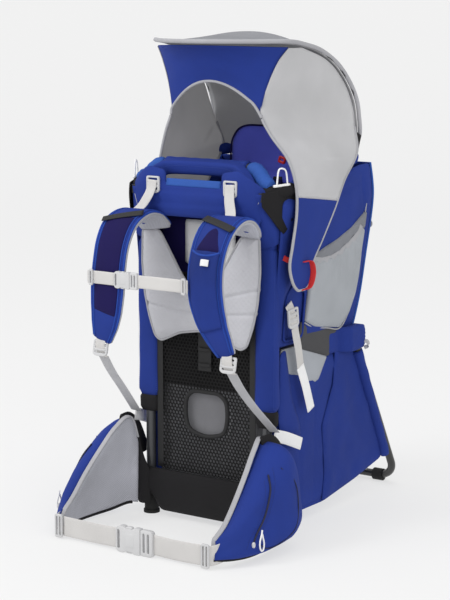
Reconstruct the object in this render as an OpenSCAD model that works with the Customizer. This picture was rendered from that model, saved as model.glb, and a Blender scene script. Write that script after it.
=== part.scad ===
// Child carrier backpack, standing on its front feet and open kickstand.
// Every sub-part is drawn from the back panel: X across (wearer's left), Y rearward from the
// frame uprights, Z up from the floor. at_origin() then centres the whole carrier on the origin.

/* [Frame] */
// Distance from the mid-plane to each frame upright
frame_x = 136; // [130:1:142]
// Outside diameter of the main frame tube
frame_tube = 19; // [16:0.5:20]
// Height of the grab bar at the top of the main frame
frame_top = 690; // [680:1:700]
// Height of the seat frame tubes
seat_frame_z = 337; // [334:1:340]

/* [Cockpit rim] */
// Distance from the mid-plane to each side tube of the rim
rim_x = 168; // [164:1:170]
// Height of the rim at its front
rim_z = 645; // [640:1:650]
// Rearward rise of the rim, in degrees
rim_tilt = 10; // [9:0.5:11]
// Length of the rim along its slope
rim_length = 326; // [320:1:330]

/* [Kickstand] */
// Distance from the mid-plane to each kickstand tube
stand_x = 152; // [151:0.5:153]
// Angle of the open kickstand, rearward from straight down
stand_angle = 29; // [27:0.5:31]
// Radius of the kickstand hinge pins
pin_r = 4; // [3.5:0.1:4.5]

/* [Harness] */
// Distance from the mid-plane to the middle of each shoulder strap at the chest
strap_x = 109; // [106:1:112]
// Thickness of the shoulder straps
strap_thick = 14; // [10:1:15]
// Height of the sternum strap
sternum_z = 490; // [480:1:500]

/* [Hip belt] */
// Thickness of the padded hip wings
wing_thick = 15; // [10:1:16]
// Width of the hip belt webbing
belt_w = 38; // [30:1:40]

/* [Sunshade] */
// Height of the front brim of the sunshade
brim_z = 922; // [910:1:930]
// Thickness of the sunshade fabric solids
shade_thick = 2.5; // [2:0.5:3]

/* [Hidden] */
$fn = 32;

tube_r = frame_tube / 2;
tube_wall = 1.5;
rim_r = 7;
rim_bend = 60;
rim_front = -30;
seat_tube_r = 8;
seat_tube_x = 130;
pivot_y = 285;
pivot_z = seat_frame_z;
stand_r = 8;
stand_length = 371;
hub_r = 13;
ear_gap = 1.5;
ear_thick = 4;
play = 0.05;
wire_r = 3;
hinge_y = 291;
hinge_z = 716;
// Y of the middle of the whole carrier, from the back panel
middle_y = 114;

module at_origin() { translate([0, -middle_y, 0]) children(); }
module both_sides() { for (side = [0, 1]) mirror([side, 0, 0]) children(); }

// Height of the rim's centreline at a place along the carrier
function rim_height(y) = rim_z + (y - rim_front) * tan(rim_tilt);

// Round bar between two points
module rod(p, q, r) {
    d = q - p;
    translate(p) rotate([0, acos(d.z / norm(d)), atan2(d.y, d.x)]) cylinder(h = norm(d), r = r);
}

// Unit vector from one point to another, and the signed turn between two flat directions
function along(a, b) = (b - a) / norm(b - a);
function turn(u, v) = atan2(u.x * v.y - u.y * v.x, u * v);
function trim(path, i, bend) =
    bend * tan(abs(turn(along(path[i - 1], path[i]), along(path[i], path[i + 1]))) / 2);

// Bar along a flat path, with a round bend at each corner
module bent_rod(path, bend, r) {
    last = len(path) - 1;
    for (i = [0 : last - 1]) {
        d = along(path[i], path[i + 1]);
        a = path[i] + d * (i == 0 ? 0 : trim(path, i, bend));
        b = path[i + 1] - d * (i == last - 1 ? 0 : trim(path, i + 1, bend));
        rod([a.x, a.y, 0], [b.x, b.y, 0], r);
    }
    for (i = [1 : last - 1]) {
        u = along(path[i - 1], path[i]);
        t = turn(u, along(path[i], path[i + 1]));
        centre = path[i] - u * trim(path, i, bend) + sign(t) * bend * [-u.y, u.x];
        start = atan2(-sign(t) * u.x, sign(t) * u.y);
        translate([centre.x, centre.y, 0])
            rotate([0, 0, min(start, start + t)])
                rotate_extrude(angle = abs(t)) translate([bend, 0]) circle(r);
    }
}

// Sum of the normals of a ring's triangles, and the middle of a ring
function ring_normal(r) =
    [for (j = [1 : len(r) - 2]) 1] * [for (j = [1 : len(r) - 2]) cross(r[j] - r[0], r[j + 1] - r[0])];
function middle(r) = [for (p = r) 1] * r / len(r);

// Closed solid through rings of points, where every ring has the same number of points.
// The ends are closed with triangles across each ring, so the rings need not be flat. The second
// half of a ring is split along the other diagonal, so the two faces of a sheet stay parallel.
module loft(rings) {
    n = len(rings[0]);
    m = len(rings);
    end = (m - 1) * n;
    sides = [for (i = [0 : m - 2], j = [0 : n - 1])
        let (a = i * n + j, b = a + n, d = i * n + (j + 1) % n, c = d + n)
        each j < n / 2 ? [[a, b, c], [a, c, d]] : [[a, b, d], [b, c, d]]];
    cap = [for (j = [0 : ceil(n / 2) - 2])
        each concat([[j, j + 1, n - 1 - j]], j + 1 < n - 2 - j ? [[j + 1, n - 2 - j, n - 1 - j]] : [])];
    faces = concat(cap, sides, [for (f = cap) [end + f[0], end + f[2], end + f[1]]]);
    forward = ring_normal(rings[0]) * (middle(rings[1]) - middle(rings[0])) > 0;
    polyhedron([for (ring = rings) each ring], forward ? faces : [for (f = faces) [f[0], f[2], f[1]]]);
}

// Four corners of a band's section, from its centre, half width and half thickness vectors
function section(p, w, t) = [p - w - t, p + w - t, p + w + t, p - w + t];

// Plate from an outline in Y and Z, between two X values
module side_plate(outline, x0, x1) {
    translate([x0, 0, 0]) rotate([90, 0, 90]) linear_extrude(x1 - x0) polygon(outline);
}

// Plate from an outline in X and Z, between two Y values
module back_plate(outline, y0, y1) {
    translate([0, y1, 0]) rotate([90, 0, 0]) linear_extrude(y1 - y0) polygon(outline);
}

// Box between two opposite corners
module box(a, b) { translate(a) cube(b - a); }

// Outlines mirrored about the mid-plane, for plates that cross it
function mirrored(half) = concat(half, [for (i = [len(half) - 1 : -1 : 0]) [-half[i].x, half[i].y]]);

// ---- Metal frame ----

module main_path(r) {
    rotate([90, 0, 0])
        bent_rod([[frame_x, 16], [frame_x, frame_top], [-frame_x, frame_top], [-frame_x, 16]], 40, r);
}

module rim_path(r) {
    translate([0, rim_front, rim_z]) rotate([rim_tilt, 0, 0])
        bent_rod([[0, 0], [rim_x, 0], [rim_x, rim_length], [-rim_x, rim_length], [-rim_x, 0], [0, 0]],
                 rim_bend, r);
}

module seat_path(r) {
    both_sides() {
        rod([seat_tube_x, 0, seat_frame_z], [seat_tube_x, pivot_y, seat_frame_z], r);
        translate([seat_tube_x, pivot_y, seat_frame_z]) sphere(r);
    }
    rod([-seat_tube_x, pivot_y, seat_frame_z], [seat_tube_x, pivot_y, seat_frame_z], r);
}

module main_frame() color("dimgray") difference() {
    main_path(tube_r);
    main_path(tube_r - tube_wall);
}

module frame_feet() color([0.1, 0.1, 0.1]) both_sides() translate([frame_x, 0, 0]) difference() {
    union() {
        cylinder(h = 40, r = 14);
        cylinder(h = 6, r = 16);
    }
    translate([0, 0, 16]) cylinder(h = 30, r = tube_r);
}

module lumbar_bar() color("dimgray") difference() {
    rod([-frame_x, 0, 62], [frame_x, 0, 62], 7);
    main_path(tube_r);
}

module seat_frame() color("dimgray") difference() {
    seat_path(seat_tube_r);
    main_path(tube_r);
}

module cockpit_rim() color("dimgray") rim_path(rim_r);

// Moulded blocks that clamp the rim to the uprights
module rim_clamps() color([0.15, 0.15, 0.15]) both_sides() difference() {
    box([120, -39, 634], [150, 12, 650]);
    main_path(tube_r);
    rim_path(rim_r);
}

module rear_stays() color("dimgray") both_sides() difference() {
    rod([126, 232, seat_frame_z], [rim_x, 205, rim_height(205)], 6);
    seat_path(seat_tube_r);
    rim_path(rim_r);
}

// ---- Kickstand and its hinges ----

module stand_brackets() color([0.15, 0.15, 0.15]) both_sides() difference() {
    union() {
        box([118, 250, 323], [142.5, 272, 351]);
        box([142.5, 250, 323], [165.5, 268, 351]);
        for (x = [138.5, 161.5]) box([x, 260, 323], [x + ear_thick, 300, 351]);
    }
    seat_path(seat_tube_r);
    rod([100, pivot_y, pivot_z], [180, pivot_y, pivot_z], pin_r);
}

module stand_pins() color("silver") both_sides() {
    rod([139, pivot_y, pivot_z], [165.5, pivot_y, pivot_z], pin_r);
    rod([165.5, pivot_y, pivot_z], [169, pivot_y, pivot_z], pin_r + 3);
}

// The leg's plane leans back from the hinge; its path is drawn flat, downwards from the hinge axis
module stand_plane() {
    translate([0, pivot_y, pivot_z]) rotate([stand_angle, 0, 0]) rotate([-90, 0, 0]) children();
}

module stand_path(r) {
    stand_plane()
        bent_rod([[stand_x, 0], [stand_x, stand_length], [-stand_x, stand_length], [-stand_x, 0]], 42, r);
}

module kickstand() color([0.12, 0.12, 0.12]) difference() {
    union() {
        difference() {
            stand_path(stand_r);
            stand_path(stand_r - tube_wall);
        }
        both_sides() rod([143, pivot_y, pivot_z], [161, pivot_y, pivot_z], hub_r);
    }
    both_sides() rod([140, pivot_y, pivot_z], [164, pivot_y, pivot_z], pin_r + play);
    // Drain hole
    rod([0, bar_y, bar_z], [0, bar_y, bar_z - 20], 1.5);
}

// Round rubber feet under the cross bar, near its bends
foot_x = 112;
bar_y = pivot_y + stand_length * sin(stand_angle);
bar_z = pivot_z - stand_length * cos(stand_angle);
module stand_feet() color([0.1, 0.1, 0.1]) both_sides() difference() {
    rod([foot_x - 11, bar_y, bar_z], [foot_x + 11, bar_y, bar_z], 12.5);
    stand_path(stand_r);
}

// ---- Back panel ----

// Wide round-cornered hole in the net, for air
hole_r = 33;
module back_mesh() color([0.1, 0.1, 0.1]) difference() {
    back_plate([[-112.5, 98], [112.5, 98], [112.5, 560], [-112.5, 560]], -6, -3);
    hull() for (x = [-hole_r / 2, hole_r / 2], z = [208, 226])
        translate([x, 0, z]) rotate([90, 0, 0]) cylinder(h = 40, r = hole_r, center = true);
}

module lumbar_pad() color([0.08, 0.08, 0.08])
    back_plate(mirrored([[139, 96], [139, 43], [119, 43], [100, 14]]), -24, -11);

module frame_sleeves() color("mediumblue") both_sides() difference() {
    box([113, -14, 183], [159, 14, 600]);
    main_path(tube_r);
    seat_path(seat_tube_r);
}

module yoke_cover() color("mediumblue")
    back_plate(mirrored([[64, 656], [64, 682], [128, 680], [150, 664], [154, 640], [136, 606]]), -48.5, -43.5);

module grab_handle() color("mediumblue") difference() {
    rod([-92, 0, frame_top], [92, 0, frame_top], 15);
    main_path(tube_r);
}

module rim_pads() color("royalblue") difference() {
    translate([0, rim_front, rim_z]) rotate([rim_tilt, 0, 0]) {
        rod([-104, 0, 0], [104, 0, 0], 12);
        both_sides() rod([rim_x, 62, 0], [rim_x, 262, 0], 12.5);
        rod([-92, rim_length, 0], [92, rim_length, 0], 11);
    }
    rim_path(rim_r);
    rear_stays();
}

module corner_patches() color([0.1, 0.1, 0.1]) difference() {
    both_sides() translate([0, rim_front, rim_z]) rotate([rim_tilt, 0, 0])
        translate([rim_x - rim_bend, rim_bend, 0]) rotate([0, 0, -90])
            rotate_extrude(angle = 90) translate([rim_bend, 0]) circle(12.5);
    rim_path(rim_r);
    both_sides() box([119.7, -60, 600], [150.3, 14, 700]);
}

// Webbing ladder that the harness is buckled to at the wearer's back length
module torso_ladder() color([0.2, 0.2, 0.2]) {
    back_plate([[-15, 300], [15, 300], [15, 590], [-15, 590]], -11, -9);
    for (z = [310 : 30 : 580]) box([-15, -13, z], [15, -11, z + 4]);
}

// ---- Bag ----

side_lean = 5;
side_foot_x = 147;
side_z = 356;

// Side panels lean outward from the bag's floor to the rim
module on_side() {
    translate([side_foot_x, 0, side_z]) rotate([0, side_lean, 0]) translate([0, 0, -side_z]) children();
}

rear_profile = [[281, 358], [288, 372], [302, 428], [311, 506], [319, 574], [320, 618], [312, 650], [296, 680]];

module side_panel() color("mediumblue") on_side() difference() {
    side_plate(concat([[18, side_z], [18, 622], [270, 668]], [for (i = [7 : -1 : 0]) rear_profile[i]]), 0, 2.5);
    side_plate([[30, 366], [30, 452], [48, 474], [78, 474], [96, 452], [96, 366]], -5, 10);
}

module bag_sides() both_sides() side_panel();

// Front wall and floor of the child's cabin
module cabin_liner() color("midnightblue") {
    back_plate([[-124, 357], [124, 357], [124, 588], [-124, 588]], 14.5, 17);
    box([-112, 17, side_z], [112, 277, side_z + 2.5]);
}

// Rear wall, as wide as the gap between the leaning side panels
module bag_rear() color("mediumblue")
    loft([for (p = rear_profile)
        let (x = side_foot_x - 0.5 + (p.y - side_z) * tan(side_lean))
        section([0, p.x - 1.5, p.y], [x, 0, 0], [0, 1.5, 0])]);

lower_profile = [[18, 22], [197, 22], [204, 83], [194, 186], [238, 262], [246, 318], [18, 318]];
lower_inside = [[21, 25], [194, 25], [201, 83], [191, 187], [235, 263], [243, 315], [21, 315]];

module lower_bag() color("mediumblue") difference() {
    side_plate(lower_profile, -142, 142);
    side_plate(lower_inside, -139, 139);
}

module gussets() color("mediumblue") both_sides()
    side_plate([[196, 180], [270, 306], [292, 300], [414, 82], [400, 68], [302, 48], [200, 23], [206, 83]], 145.5, 148);

module side_pockets() color("gainsboro") both_sides() on_side()
    side_plate([[100, 396], [112, 512], [144, 508], [192, 514], [252, 540], [272, 560], [288, 556],
                [283, 509], [274, 430], [258, 391], [230, 366], [132, 382]], 3, 9);

module leg_gussets() color("darkgray") both_sides()
    side_plate([[20, 322], [20, 354], [236, 354], [236, 322], [180, 300], [120, 296], [90, 300]], 143.5, 146);

// ---- Hip belt ----

// Padded wing: top and bottom edges, from the lumbar pad to the tip
wing_top = [[148, -28, 140], [152, -46, 198], [161, -82, 182], [168, -120, 146], [173, -160, 106],
            [174, -195, 70], [172, -222, 52]];
wing_low = [[152, -26, 22], [172, -32, 22], [190, -62, 12], [200, -108, 8], [200, -158, 8],
            [190, -200, 11], [178, -234, 19]];
wing_out = [[0.2, 1, 0], [0.75, 0.66, 0], [0.93, 0.37, 0], [0.99, 0.12, 0], [1, -0.05, 0],
            [0.96, -0.28, 0], [0.88, -0.47, 0]];

module wing() color("mediumblue")
    loft([for (i = [0 : 6]) section((wing_top[i] + wing_low[i]) / 2, (wing_top[i] - wing_low[i]) / 2,
                                    wing_out[i] * wing_thick / 2)]);

module hip_wing_right() wing();
module hip_wing_left() mirror([1, 0, 0]) wing();

// Zipped pocket that stands out from the wing's outer face
pocket_bulge = [60, 58, 44, 32, 22, 4];
pocket_out = [[0.92, 0.4, 0], [0.93, 0.37, 0], [0.99, 0.12, 0], [1, -0.05, 0], [0.96, -0.28, 0], [0.88, -0.47, 0]];
function wing_at(i, f) = wing_top[i] * f + wing_low[i] * (1 - f);
module hip_pockets() color("mediumblue") both_sides() difference() {
    loft([for (i = [1 : 6])
        let (face = wing_out[i] * (wing_thick / 2 + 1), bulge = pocket_out[i - 1] * pocket_bulge[i - 1])
        [wing_at(i, 0.06) + face, wing_at(i, 0.9) + face,
         wing_at(i, 0.8) + face + bulge * 0.8, wing_at(i, 0.5) + face + bulge,
         wing_at(i, 0.16) + face + bulge * 0.8]]);
    wing();
}

belt_y = -243;
belt_low = 6;
belt_top = belt_low + belt_w;
buckle_x = 14;

// Slide adjusters at the wing tips
module hip_slides() color("gainsboro") both_sides() difference() {
    box([160, -249.5, belt_low - 3], [176, -244.5, belt_top + 3]);
    for (x = [163, 170]) box([x, -251, belt_low], [x + 3, -244, belt_top]);
}

module hip_web_socket() color("gainsboro") {
    box([-160, belt_y - 1, belt_low], [buckle_x - 46, belt_y + 1, belt_top]);
}

module hip_web_plug() color("gainsboro") {
    box([buckle_x + 38, belt_y - 1, belt_low], [160, belt_y + 1, belt_top]);
}

// Side-release buckle: hollow socket and a plug with two sprung arms
buckle_wall = 3;
module hip_socket() color("gainsboro") translate([buckle_x, belt_y, (belt_low + belt_top) / 2]) difference() {
    box([-45, -7, -25], [10, 7, 25]);
    box([-32, -4, -22], [11, 4, 22]);
    for (z = [-30, 17]) box([-26, -8, z], [-6, 8, z + 13]);
    box([-42, -8, -19], [-36, 8, 19]);
}

module hip_plug() color("gainsboro") translate([buckle_x, belt_y, (belt_low + belt_top) / 2]) {
    difference() {
        box([10.5, -6, -24], [37, 6, 24]);
        for (x = [16, 26]) box([x, -7, -19], [x + 5, 7, 19]);
    }
    box([-20, -3, -3], [10.5, 3, 3]);
    for (side = [-1, 1]) mirror([0, 0, side < 0 ? 1 : 0]) {
        box([-4, -3, 16], [10.5, 3, 21]);
        box([-24, -3, 17], [-4, 3, 21.5]);
    }
}

module stabilisers() color([0.1, 0.1, 0.1]) both_sides()
    side_plate([[-14, 178], [12, 178], [22, 128], [6, 116], [-6, 128]], 160.5, 163);

module web_tails() color("white") both_sides()
    side_plate([[-12, 208], [72, 178], [68, 156], [-12, 184]], 163.5, 165);

module rod_box(p, size) { translate(p - size / 2) cube(size); }

// ---- Adjusters and hooks on the frame ----

module ladder_lock(w, h, t) difference() {
    rod_box([0, 0, 0], [w, t, h]);
    for (z = [-h * 0.3, 0, h * 0.3]) rod_box([0, 0, z], [w - 7, t * 2, h * 0.16]);
}

module ladder_locks() color("gainsboro") both_sides() {
    translate([88, -51.5, 654]) ladder_lock(30, 30, 5);
    translate([167.5, 38, 412]) rotate([0, 0, 90]) ladder_lock(36, 40, 5);
}

module rear_hook() color("crimson") translate([158, 319, 628]) rotate([8, 0, 0]) difference() {
    rod_box([0, 8, 0], [14, 10, 26]);
    rod_box([0, 9, 0], [20, 5, 16]);
}

// Its rolled top edge is what it swings on
stirrup_z = 390;
module stirrup() color("white") {
    side_plate([[22, stirrup_z], [50, stirrup_z], [66, 320], [112, 232], [90, 222], [40, 320]], 166, 168);
    rod([167, 22, stirrup_z], [167, 50, stirrup_z], 1);
}

module stirrup_right() stirrup();
module stirrup_left() mirror([1, 0, 0]) stirrup();

// Pull tab with the eye that hangs in the zip's slider
module zip_pull() color("white") difference() {
    union() {
        box([233, -168, 56], [236, -160, 68]);
        box([233.5, -166, 24], [235.5, -162, 56]);
    }
    rod([230, -164, 62], [240, -164, 62], 1.8);
}

module zip_pull_right() zip_pull();
module zip_pull_left() mirror([1, 0, 0]) zip_pull();

// Grey limit straps from the lower bag's gussets to the cross bar
module stand_straps() color("silver") both_sides()
    side_plate([[372, 66], [378, 72], [456, 25], [451, 18]], 70, 90);

// ---- Sunshade ----

// Side of the bent hoop from its hinge to the front corner of the brim
hoop_side = [[128, hinge_y, hinge_z], [156, 286, 722], [168, 274, 744], [171, 266, 770], [171, 256, 806],
             [169, 232, 842], [166, 192, 878], [162, 140, 904], [157, 90, 916], [152, 44, brim_z]];
brim_back = 44;
brim_front = -50;
function brim(t) = [152 * t, brim_front + (brim_back - brim_front) * t * t, brim_z];
hoop_path = concat(hoop_side, [for (t = [0.75 : -0.25 : -0.75]) brim(t)],
                   [for (i = [len(hoop_side) - 1 : -1 : 0]) [-hoop_side[i].x, hoop_side[i].y, hoop_side[i].z]]);

function wire_ring(path, i, r) =
    let (d = along(path[max(i - 1, 0)], path[min(i + 1, len(path) - 1)]),
         u = cross(d, abs(d.z) > 0.9 ? [0, 1, 0] : [0, 0, 1]),
         v = u / norm(u), w = cross(d, v))
    [for (a = [0 : 45 : 315]) path[i] + r * (v * cos(a) + w * sin(a))];

module shade_hoop() color("gainsboro") {
    loft([for (i = [0 : len(hoop_path) - 1]) wire_ring(hoop_path, i, wire_r)]);
    both_sides() rod([98, hinge_y, hinge_z], [129, hinge_y, hinge_z], wire_r);
}

module shade_brackets() color([0.15, 0.15, 0.15]) both_sides() difference() {
    box([95, 280, 691], [112, 302, 723]);
    rim_path(rim_r);
    rod([90, hinge_y, hinge_z], [120, hinge_y, hinge_z], wire_r + play);
}

// Roof: side points just inside the hoop, and how far the middle rises and moves back
roof_side = [[149, 50, 917], [154, 92, 911], [159, 140, 899], [163, 190, 873], [165.5, 228, 838],
             [167, 251, 804], [167, 261, 770], [164, 268, 744], [154, 278, 728]];
roof_mid = [[-44, 922], [70, 932], [150, 936], [212, 920], [252, 886], [274, 842], [284, 792], [286, 754], [288, 728]];
function arch(a, mid, t) = [a.x * t, a.y + (mid.x - a.y) * (1 - t * t), a.z + (mid.y - a.z) * (1 - t * t)];
function arch_ring(a, mid, shift) = concat([for (t = [-1 : 0.25 : 1]) arch(a, mid, t)],
    [for (t = [1 : -0.25 : -1]) arch(a, mid, t) - shift]);
roof_shift = [[0, 0, 1], [0, 0.2, 1], [0, 0.4, 0.9], [0, 0.6, 0.8], [0, 0.8, 0.6], [0, 0.95, 0.3],
              [0, 1, 0], [0, 1, 0], [0, 1, 0]];

module shade_roof() color("silver")
    loft([for (i = [0 : 8]) arch_ring(roof_side[i], roof_mid[i], roof_shift[i] * shade_thick)]);

// Blue front panel between the brim and the face opening
module shade_front() color("mediumblue") {
    rows = [[148, 40, 913, -44, 914], [128, 34, 885, -26, 904], [110, 28, 842, -8, 878], [97, 22, 794, 8, 848]];
    loft([for (r = rows) arch_ring([r[0], r[1], r[2]], [r[3], r[4]], [0, -shade_thick, 0])]);
}

// Side panels with long tails: front edge and rear edge at each height. The wearer's right-hand
// tail is tucked inside the cockpit rim.
upper_rows = [[149, 46, 910, 155, 82], [131, 38, 884, 161, 162], [113, 32, 842, 165, 216], [101, 26, 794, 167, 246]];
free_rows = [[128, 20, 752, 168, 254], [168, 18, 708, 184, 236], [184, 20, 660, 188, 184], [187, 18, 610, 188, 150],
             [188, 4, 555, 188, 106], [188, -6, 515, 188, 72], [188, 6, 482, 188, 62], [188, 22, 468, 188, 48]];
tucked_rows = [[111, 20, 752, 164, 250], [122, 20, 712, 152, 228], [134, 22, 660, 150, 184], [138, 30, 612, 148, 150],
               [140, 40, 580, 147, 112]];
function side_point(r, t) = [r[0] + (r[3] - r[0]) * (1 - pow(1 - t, 2.5)), r[1] + (r[4] - r[1]) * t, r[2]];
module side_sheet(rows)
    loft([for (r = rows)
        concat([for (t = [0 : 0.2 : 1]) side_point(r, t)],
               [for (t = [1 : -0.2 : 0]) side_point(r, t) - [shade_thick, 0, 0]])]);

module shade_sides() color("silver") {
    side_sheet(concat(upper_rows, free_rows));
    mirror([1, 0, 0]) side_sheet(concat(upper_rows, tucked_rows));
}

// ---- Harness ----

strap_path = [[101, -28, 570], [103, -36, 584], [105, -58, 599], [107, -90, 602], [strap_x, -124, 587],
              [strap_x, -147, 556], [strap_x, -159, 515], [strap_x + 3, -161, 470], [strap_x + 12, -155, 425],
              [strap_x + 25, -146, 388], [strap_x + 34, -140, 366]];
strap_half = [36, 37, 38, 38, 37, 36, 36, 36, 33, 27, 18];
function strap_ring(i) =
    let (d = along(strap_path[max(i - 1, 0)], strap_path[min(i + 1, 10)]),
         n = cross([1, 0, 0], d))
    section(strap_path[i], [strap_half[i], 0, 0], -n / norm(n) * strap_thick / 2);

module shoulder_strap() color("mediumblue") loft([for (i = [0 : 10]) strap_ring(i)]);
module shoulder_strap_right() shoulder_strap();
module shoulder_strap_left() mirror([1, 0, 0]) shoulder_strap();

module harness_back() color("lightgray") {
    back_plate(mirrored([[0, 462], [62, 566], [138, 566], [130, 440], [112, 382], [80, 356]]), -34, -20);
    back_plate([[-40, 460], [40, 460], [30, 420], [-30, 420]], -20, -15);
}

module strap_locks() color("gainsboro") both_sides() translate([146, -141, 350]) ladder_lock(36, 28, 6);

// Lifter webs above the straps and lower webs below them
module strap_webs() color("gainsboro") both_sides() {
    back_plate([[78, 638], [98, 638], [118, 611], [96, 611]], -57, -55.5);
    loft([section([147, -133.5, 334], [12, 0, 0], [0, 0.8, 0.6]),
          section([152, -72, 262], [12, 0, 0], [0, 0.8, 0.6]),
          section([160, -22, 213], [12, 0, 0], [0, 0.8, 0.6])]);
}

// Sternum strap: webbing on each shoulder strap, joined by a small side-release buckle
sternum_x = -56;
sternum_y = -175;
web_w = 24;

module sternum_web_socket() color("gainsboro")
    box([-150, sternum_y - 1, sternum_z - web_w / 2], [sternum_x - 32, sternum_y + 1, sternum_z + web_w / 2]);

module sternum_web_plug() color("gainsboro")
    box([sternum_x + 28, sternum_y - 1, sternum_z - web_w / 2], [150, sternum_y + 1, sternum_z + web_w / 2]);

module sternum_socket() color("gainsboro") translate([sternum_x, sternum_y, sternum_z]) difference() {
    box([-31, -5, -16], [6, 5, 16]);
    box([-22, -3, -13.5], [7, 3, 13.5]);
    for (z = [-20, 10]) box([-18, -6, z], [-6, 6, z + 10]);
    box([-29, -6, -12], [-25, 6, 12]);
}

module sternum_plug() color("gainsboro") translate([sternum_x, sternum_y, sternum_z]) {
    difference() {
        box([6.5, -4.5, -15.5], [27, 4.5, 15.5]);
        for (x = [11, 19]) box([x, -6, -12], [x + 4, 6, 12]);
    }
    box([-14, -2, -2], [6.5, 2, 2]);
    for (side = [-1, 1]) mirror([0, 0, side < 0 ? 1 : 0]) {
        box([-4, -2, 9.5], [6.5, 2, 13]);
        box([-17, -2, 10.5], [-4, 2, 13.2]);
    }
}

// ---- Child seat ----

module seat_pad() color("royalblue") {
    box([-62, 66, 402], [62, 203, 428]);
}

// Backrest with a rounded headrest
module seat_back() color("royalblue") difference() {
    back_plate(mirrored([[66, 400], [74, 560], [90, 680], [84, 726], [50, 752]]), 204, 224);
    back_plate([[-60, 662], [60, 662], [60, 666], [-60, 666]], 200, 207);
}

// Shoulder webs of the child's harness, joined by a buckle over the chest
module child_harness() color("crimson") {
    for (x = [-38, 14]) box([x, 200, 470], [x + 24, 203.5, 660]);
    box([-42, 196, 600], [42, 199.8, 626]);
}

at_origin() main_frame();
at_origin() frame_feet();
at_origin() lumbar_bar();
at_origin() seat_frame();
at_origin() cockpit_rim();
at_origin() rim_clamps();
at_origin() rear_stays();
at_origin() stand_brackets();
at_origin() stand_pins();
at_origin() shade_brackets();
at_origin() back_mesh();
at_origin() lumbar_pad();
at_origin() frame_sleeves();
at_origin() yoke_cover();
at_origin() grab_handle();
at_origin() rim_pads();
at_origin() corner_patches();
at_origin() torso_ladder();
at_origin() cabin_liner();
at_origin() bag_sides();
at_origin() bag_rear();
at_origin() lower_bag();
at_origin() gussets();
at_origin() side_pockets();
at_origin() leg_gussets();
at_origin() hip_wing_left();
at_origin() hip_wing_right();
at_origin() hip_pockets();
at_origin() hip_slides();
at_origin() hip_web_socket();
at_origin() hip_web_plug();
at_origin() hip_socket();
at_origin() hip_plug();
at_origin() stabilisers();
at_origin() web_tails();
at_origin() ladder_locks();
at_origin() rear_hook();
at_origin() stirrup_left();
at_origin() stirrup_right();
at_origin() zip_pull_left();
at_origin() zip_pull_right();
at_origin() kickstand();
at_origin() stand_feet();
at_origin() stand_straps();
at_origin() shade_hoop();
at_origin() shade_roof();
at_origin() shade_front();
at_origin() shade_sides();
at_origin() harness_back();
at_origin() shoulder_strap_left();
at_origin() shoulder_strap_right();
at_origin() strap_locks();
at_origin() strap_webs();
at_origin() sternum_web_socket();
at_origin() sternum_socket();
at_origin() sternum_plug();
at_origin() sternum_web_plug();
at_origin() seat_pad();
at_origin() seat_back();
at_origin() child_harness();
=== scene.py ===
import math

import bmesh
import bpy
import numpy as np
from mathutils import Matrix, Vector, geometry, noise


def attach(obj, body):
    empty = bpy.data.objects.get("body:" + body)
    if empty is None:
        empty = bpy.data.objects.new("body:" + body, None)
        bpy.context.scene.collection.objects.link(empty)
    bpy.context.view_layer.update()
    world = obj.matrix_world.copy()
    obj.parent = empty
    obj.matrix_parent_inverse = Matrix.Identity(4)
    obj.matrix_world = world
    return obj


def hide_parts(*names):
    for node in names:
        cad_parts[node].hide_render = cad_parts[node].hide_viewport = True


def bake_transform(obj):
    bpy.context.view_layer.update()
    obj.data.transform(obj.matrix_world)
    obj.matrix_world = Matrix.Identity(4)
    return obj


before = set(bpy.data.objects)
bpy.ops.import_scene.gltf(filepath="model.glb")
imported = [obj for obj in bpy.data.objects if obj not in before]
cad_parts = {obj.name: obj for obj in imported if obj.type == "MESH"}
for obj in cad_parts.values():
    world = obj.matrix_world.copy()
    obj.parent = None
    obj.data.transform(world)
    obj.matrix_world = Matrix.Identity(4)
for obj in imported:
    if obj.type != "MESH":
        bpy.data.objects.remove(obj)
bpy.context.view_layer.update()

# Points below are in millimetres from the back panel, as in part.scad; metres() gives the row frame.
MIDDLE_Y = 114
SIDES = (("R", 1), ("L", -1))
WORD = {1: "right", -1: "left"}
scene = bpy.context.scene


# ---- Camera, floor and light ----

def aim(obj, place, target):
    obj.location = place
    obj.rotation_euler = (Vector(target) - Vector(place)).to_track_quat("-Z", "Y").to_euler()


CAMERA_AT = (1.9564, -2.8768, 0.9916)
CAMERA_TO = (0, -0.05654, 0.42796)
LENS_MM = 108.6
OBJECT_MIDDLE = (0, 0, 0.4)

camera = bpy.data.objects.new("camera", bpy.data.cameras.new("camera"))
scene.collection.objects.link(camera)
camera.data.sensor_width = 36
camera.data.lens = LENS_MM
camera.data.clip_end = 50
aim(camera, CAMERA_AT, CAMERA_TO)
scene.camera = camera


def lamp(name, place, target, size, power):
    light = bpy.data.objects.new(name, bpy.data.lights.new(name, "AREA"))
    scene.collection.objects.link(light)
    light.data.size = size
    light.data.energy = power
    aim(light, place, target)


lamp("key", (-1.6, -2.6, 3.0), OBJECT_MIDDLE, 1.6, 62)
lamp("fill", (3.2, -2.2, 1.8), OBJECT_MIDDLE, 2.4, 30)
lamp("top", (0.3, 0.4, 3.4), (0, 0, 0.5), 2.4, 16)

world = bpy.data.worlds.new("studio")
scene.world = world
world.use_nodes = True
world.node_tree.nodes["Background"].inputs["Color"].default_value = (1, 1, 1, 1)
world.node_tree.nodes["Background"].inputs["Strength"].default_value = 0.78
scene.view_settings.view_transform = "Standard"


# ---- Materials ----

def linear(rgb):
    return [(c / 255 / 12.92) if c <= 10 else ((c / 255 + 0.055) / 1.055) ** 2.4 for c in rgb] + [1.0]


def shade(rgb, by):
    return [min(255, c * by) for c in rgb]


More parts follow.
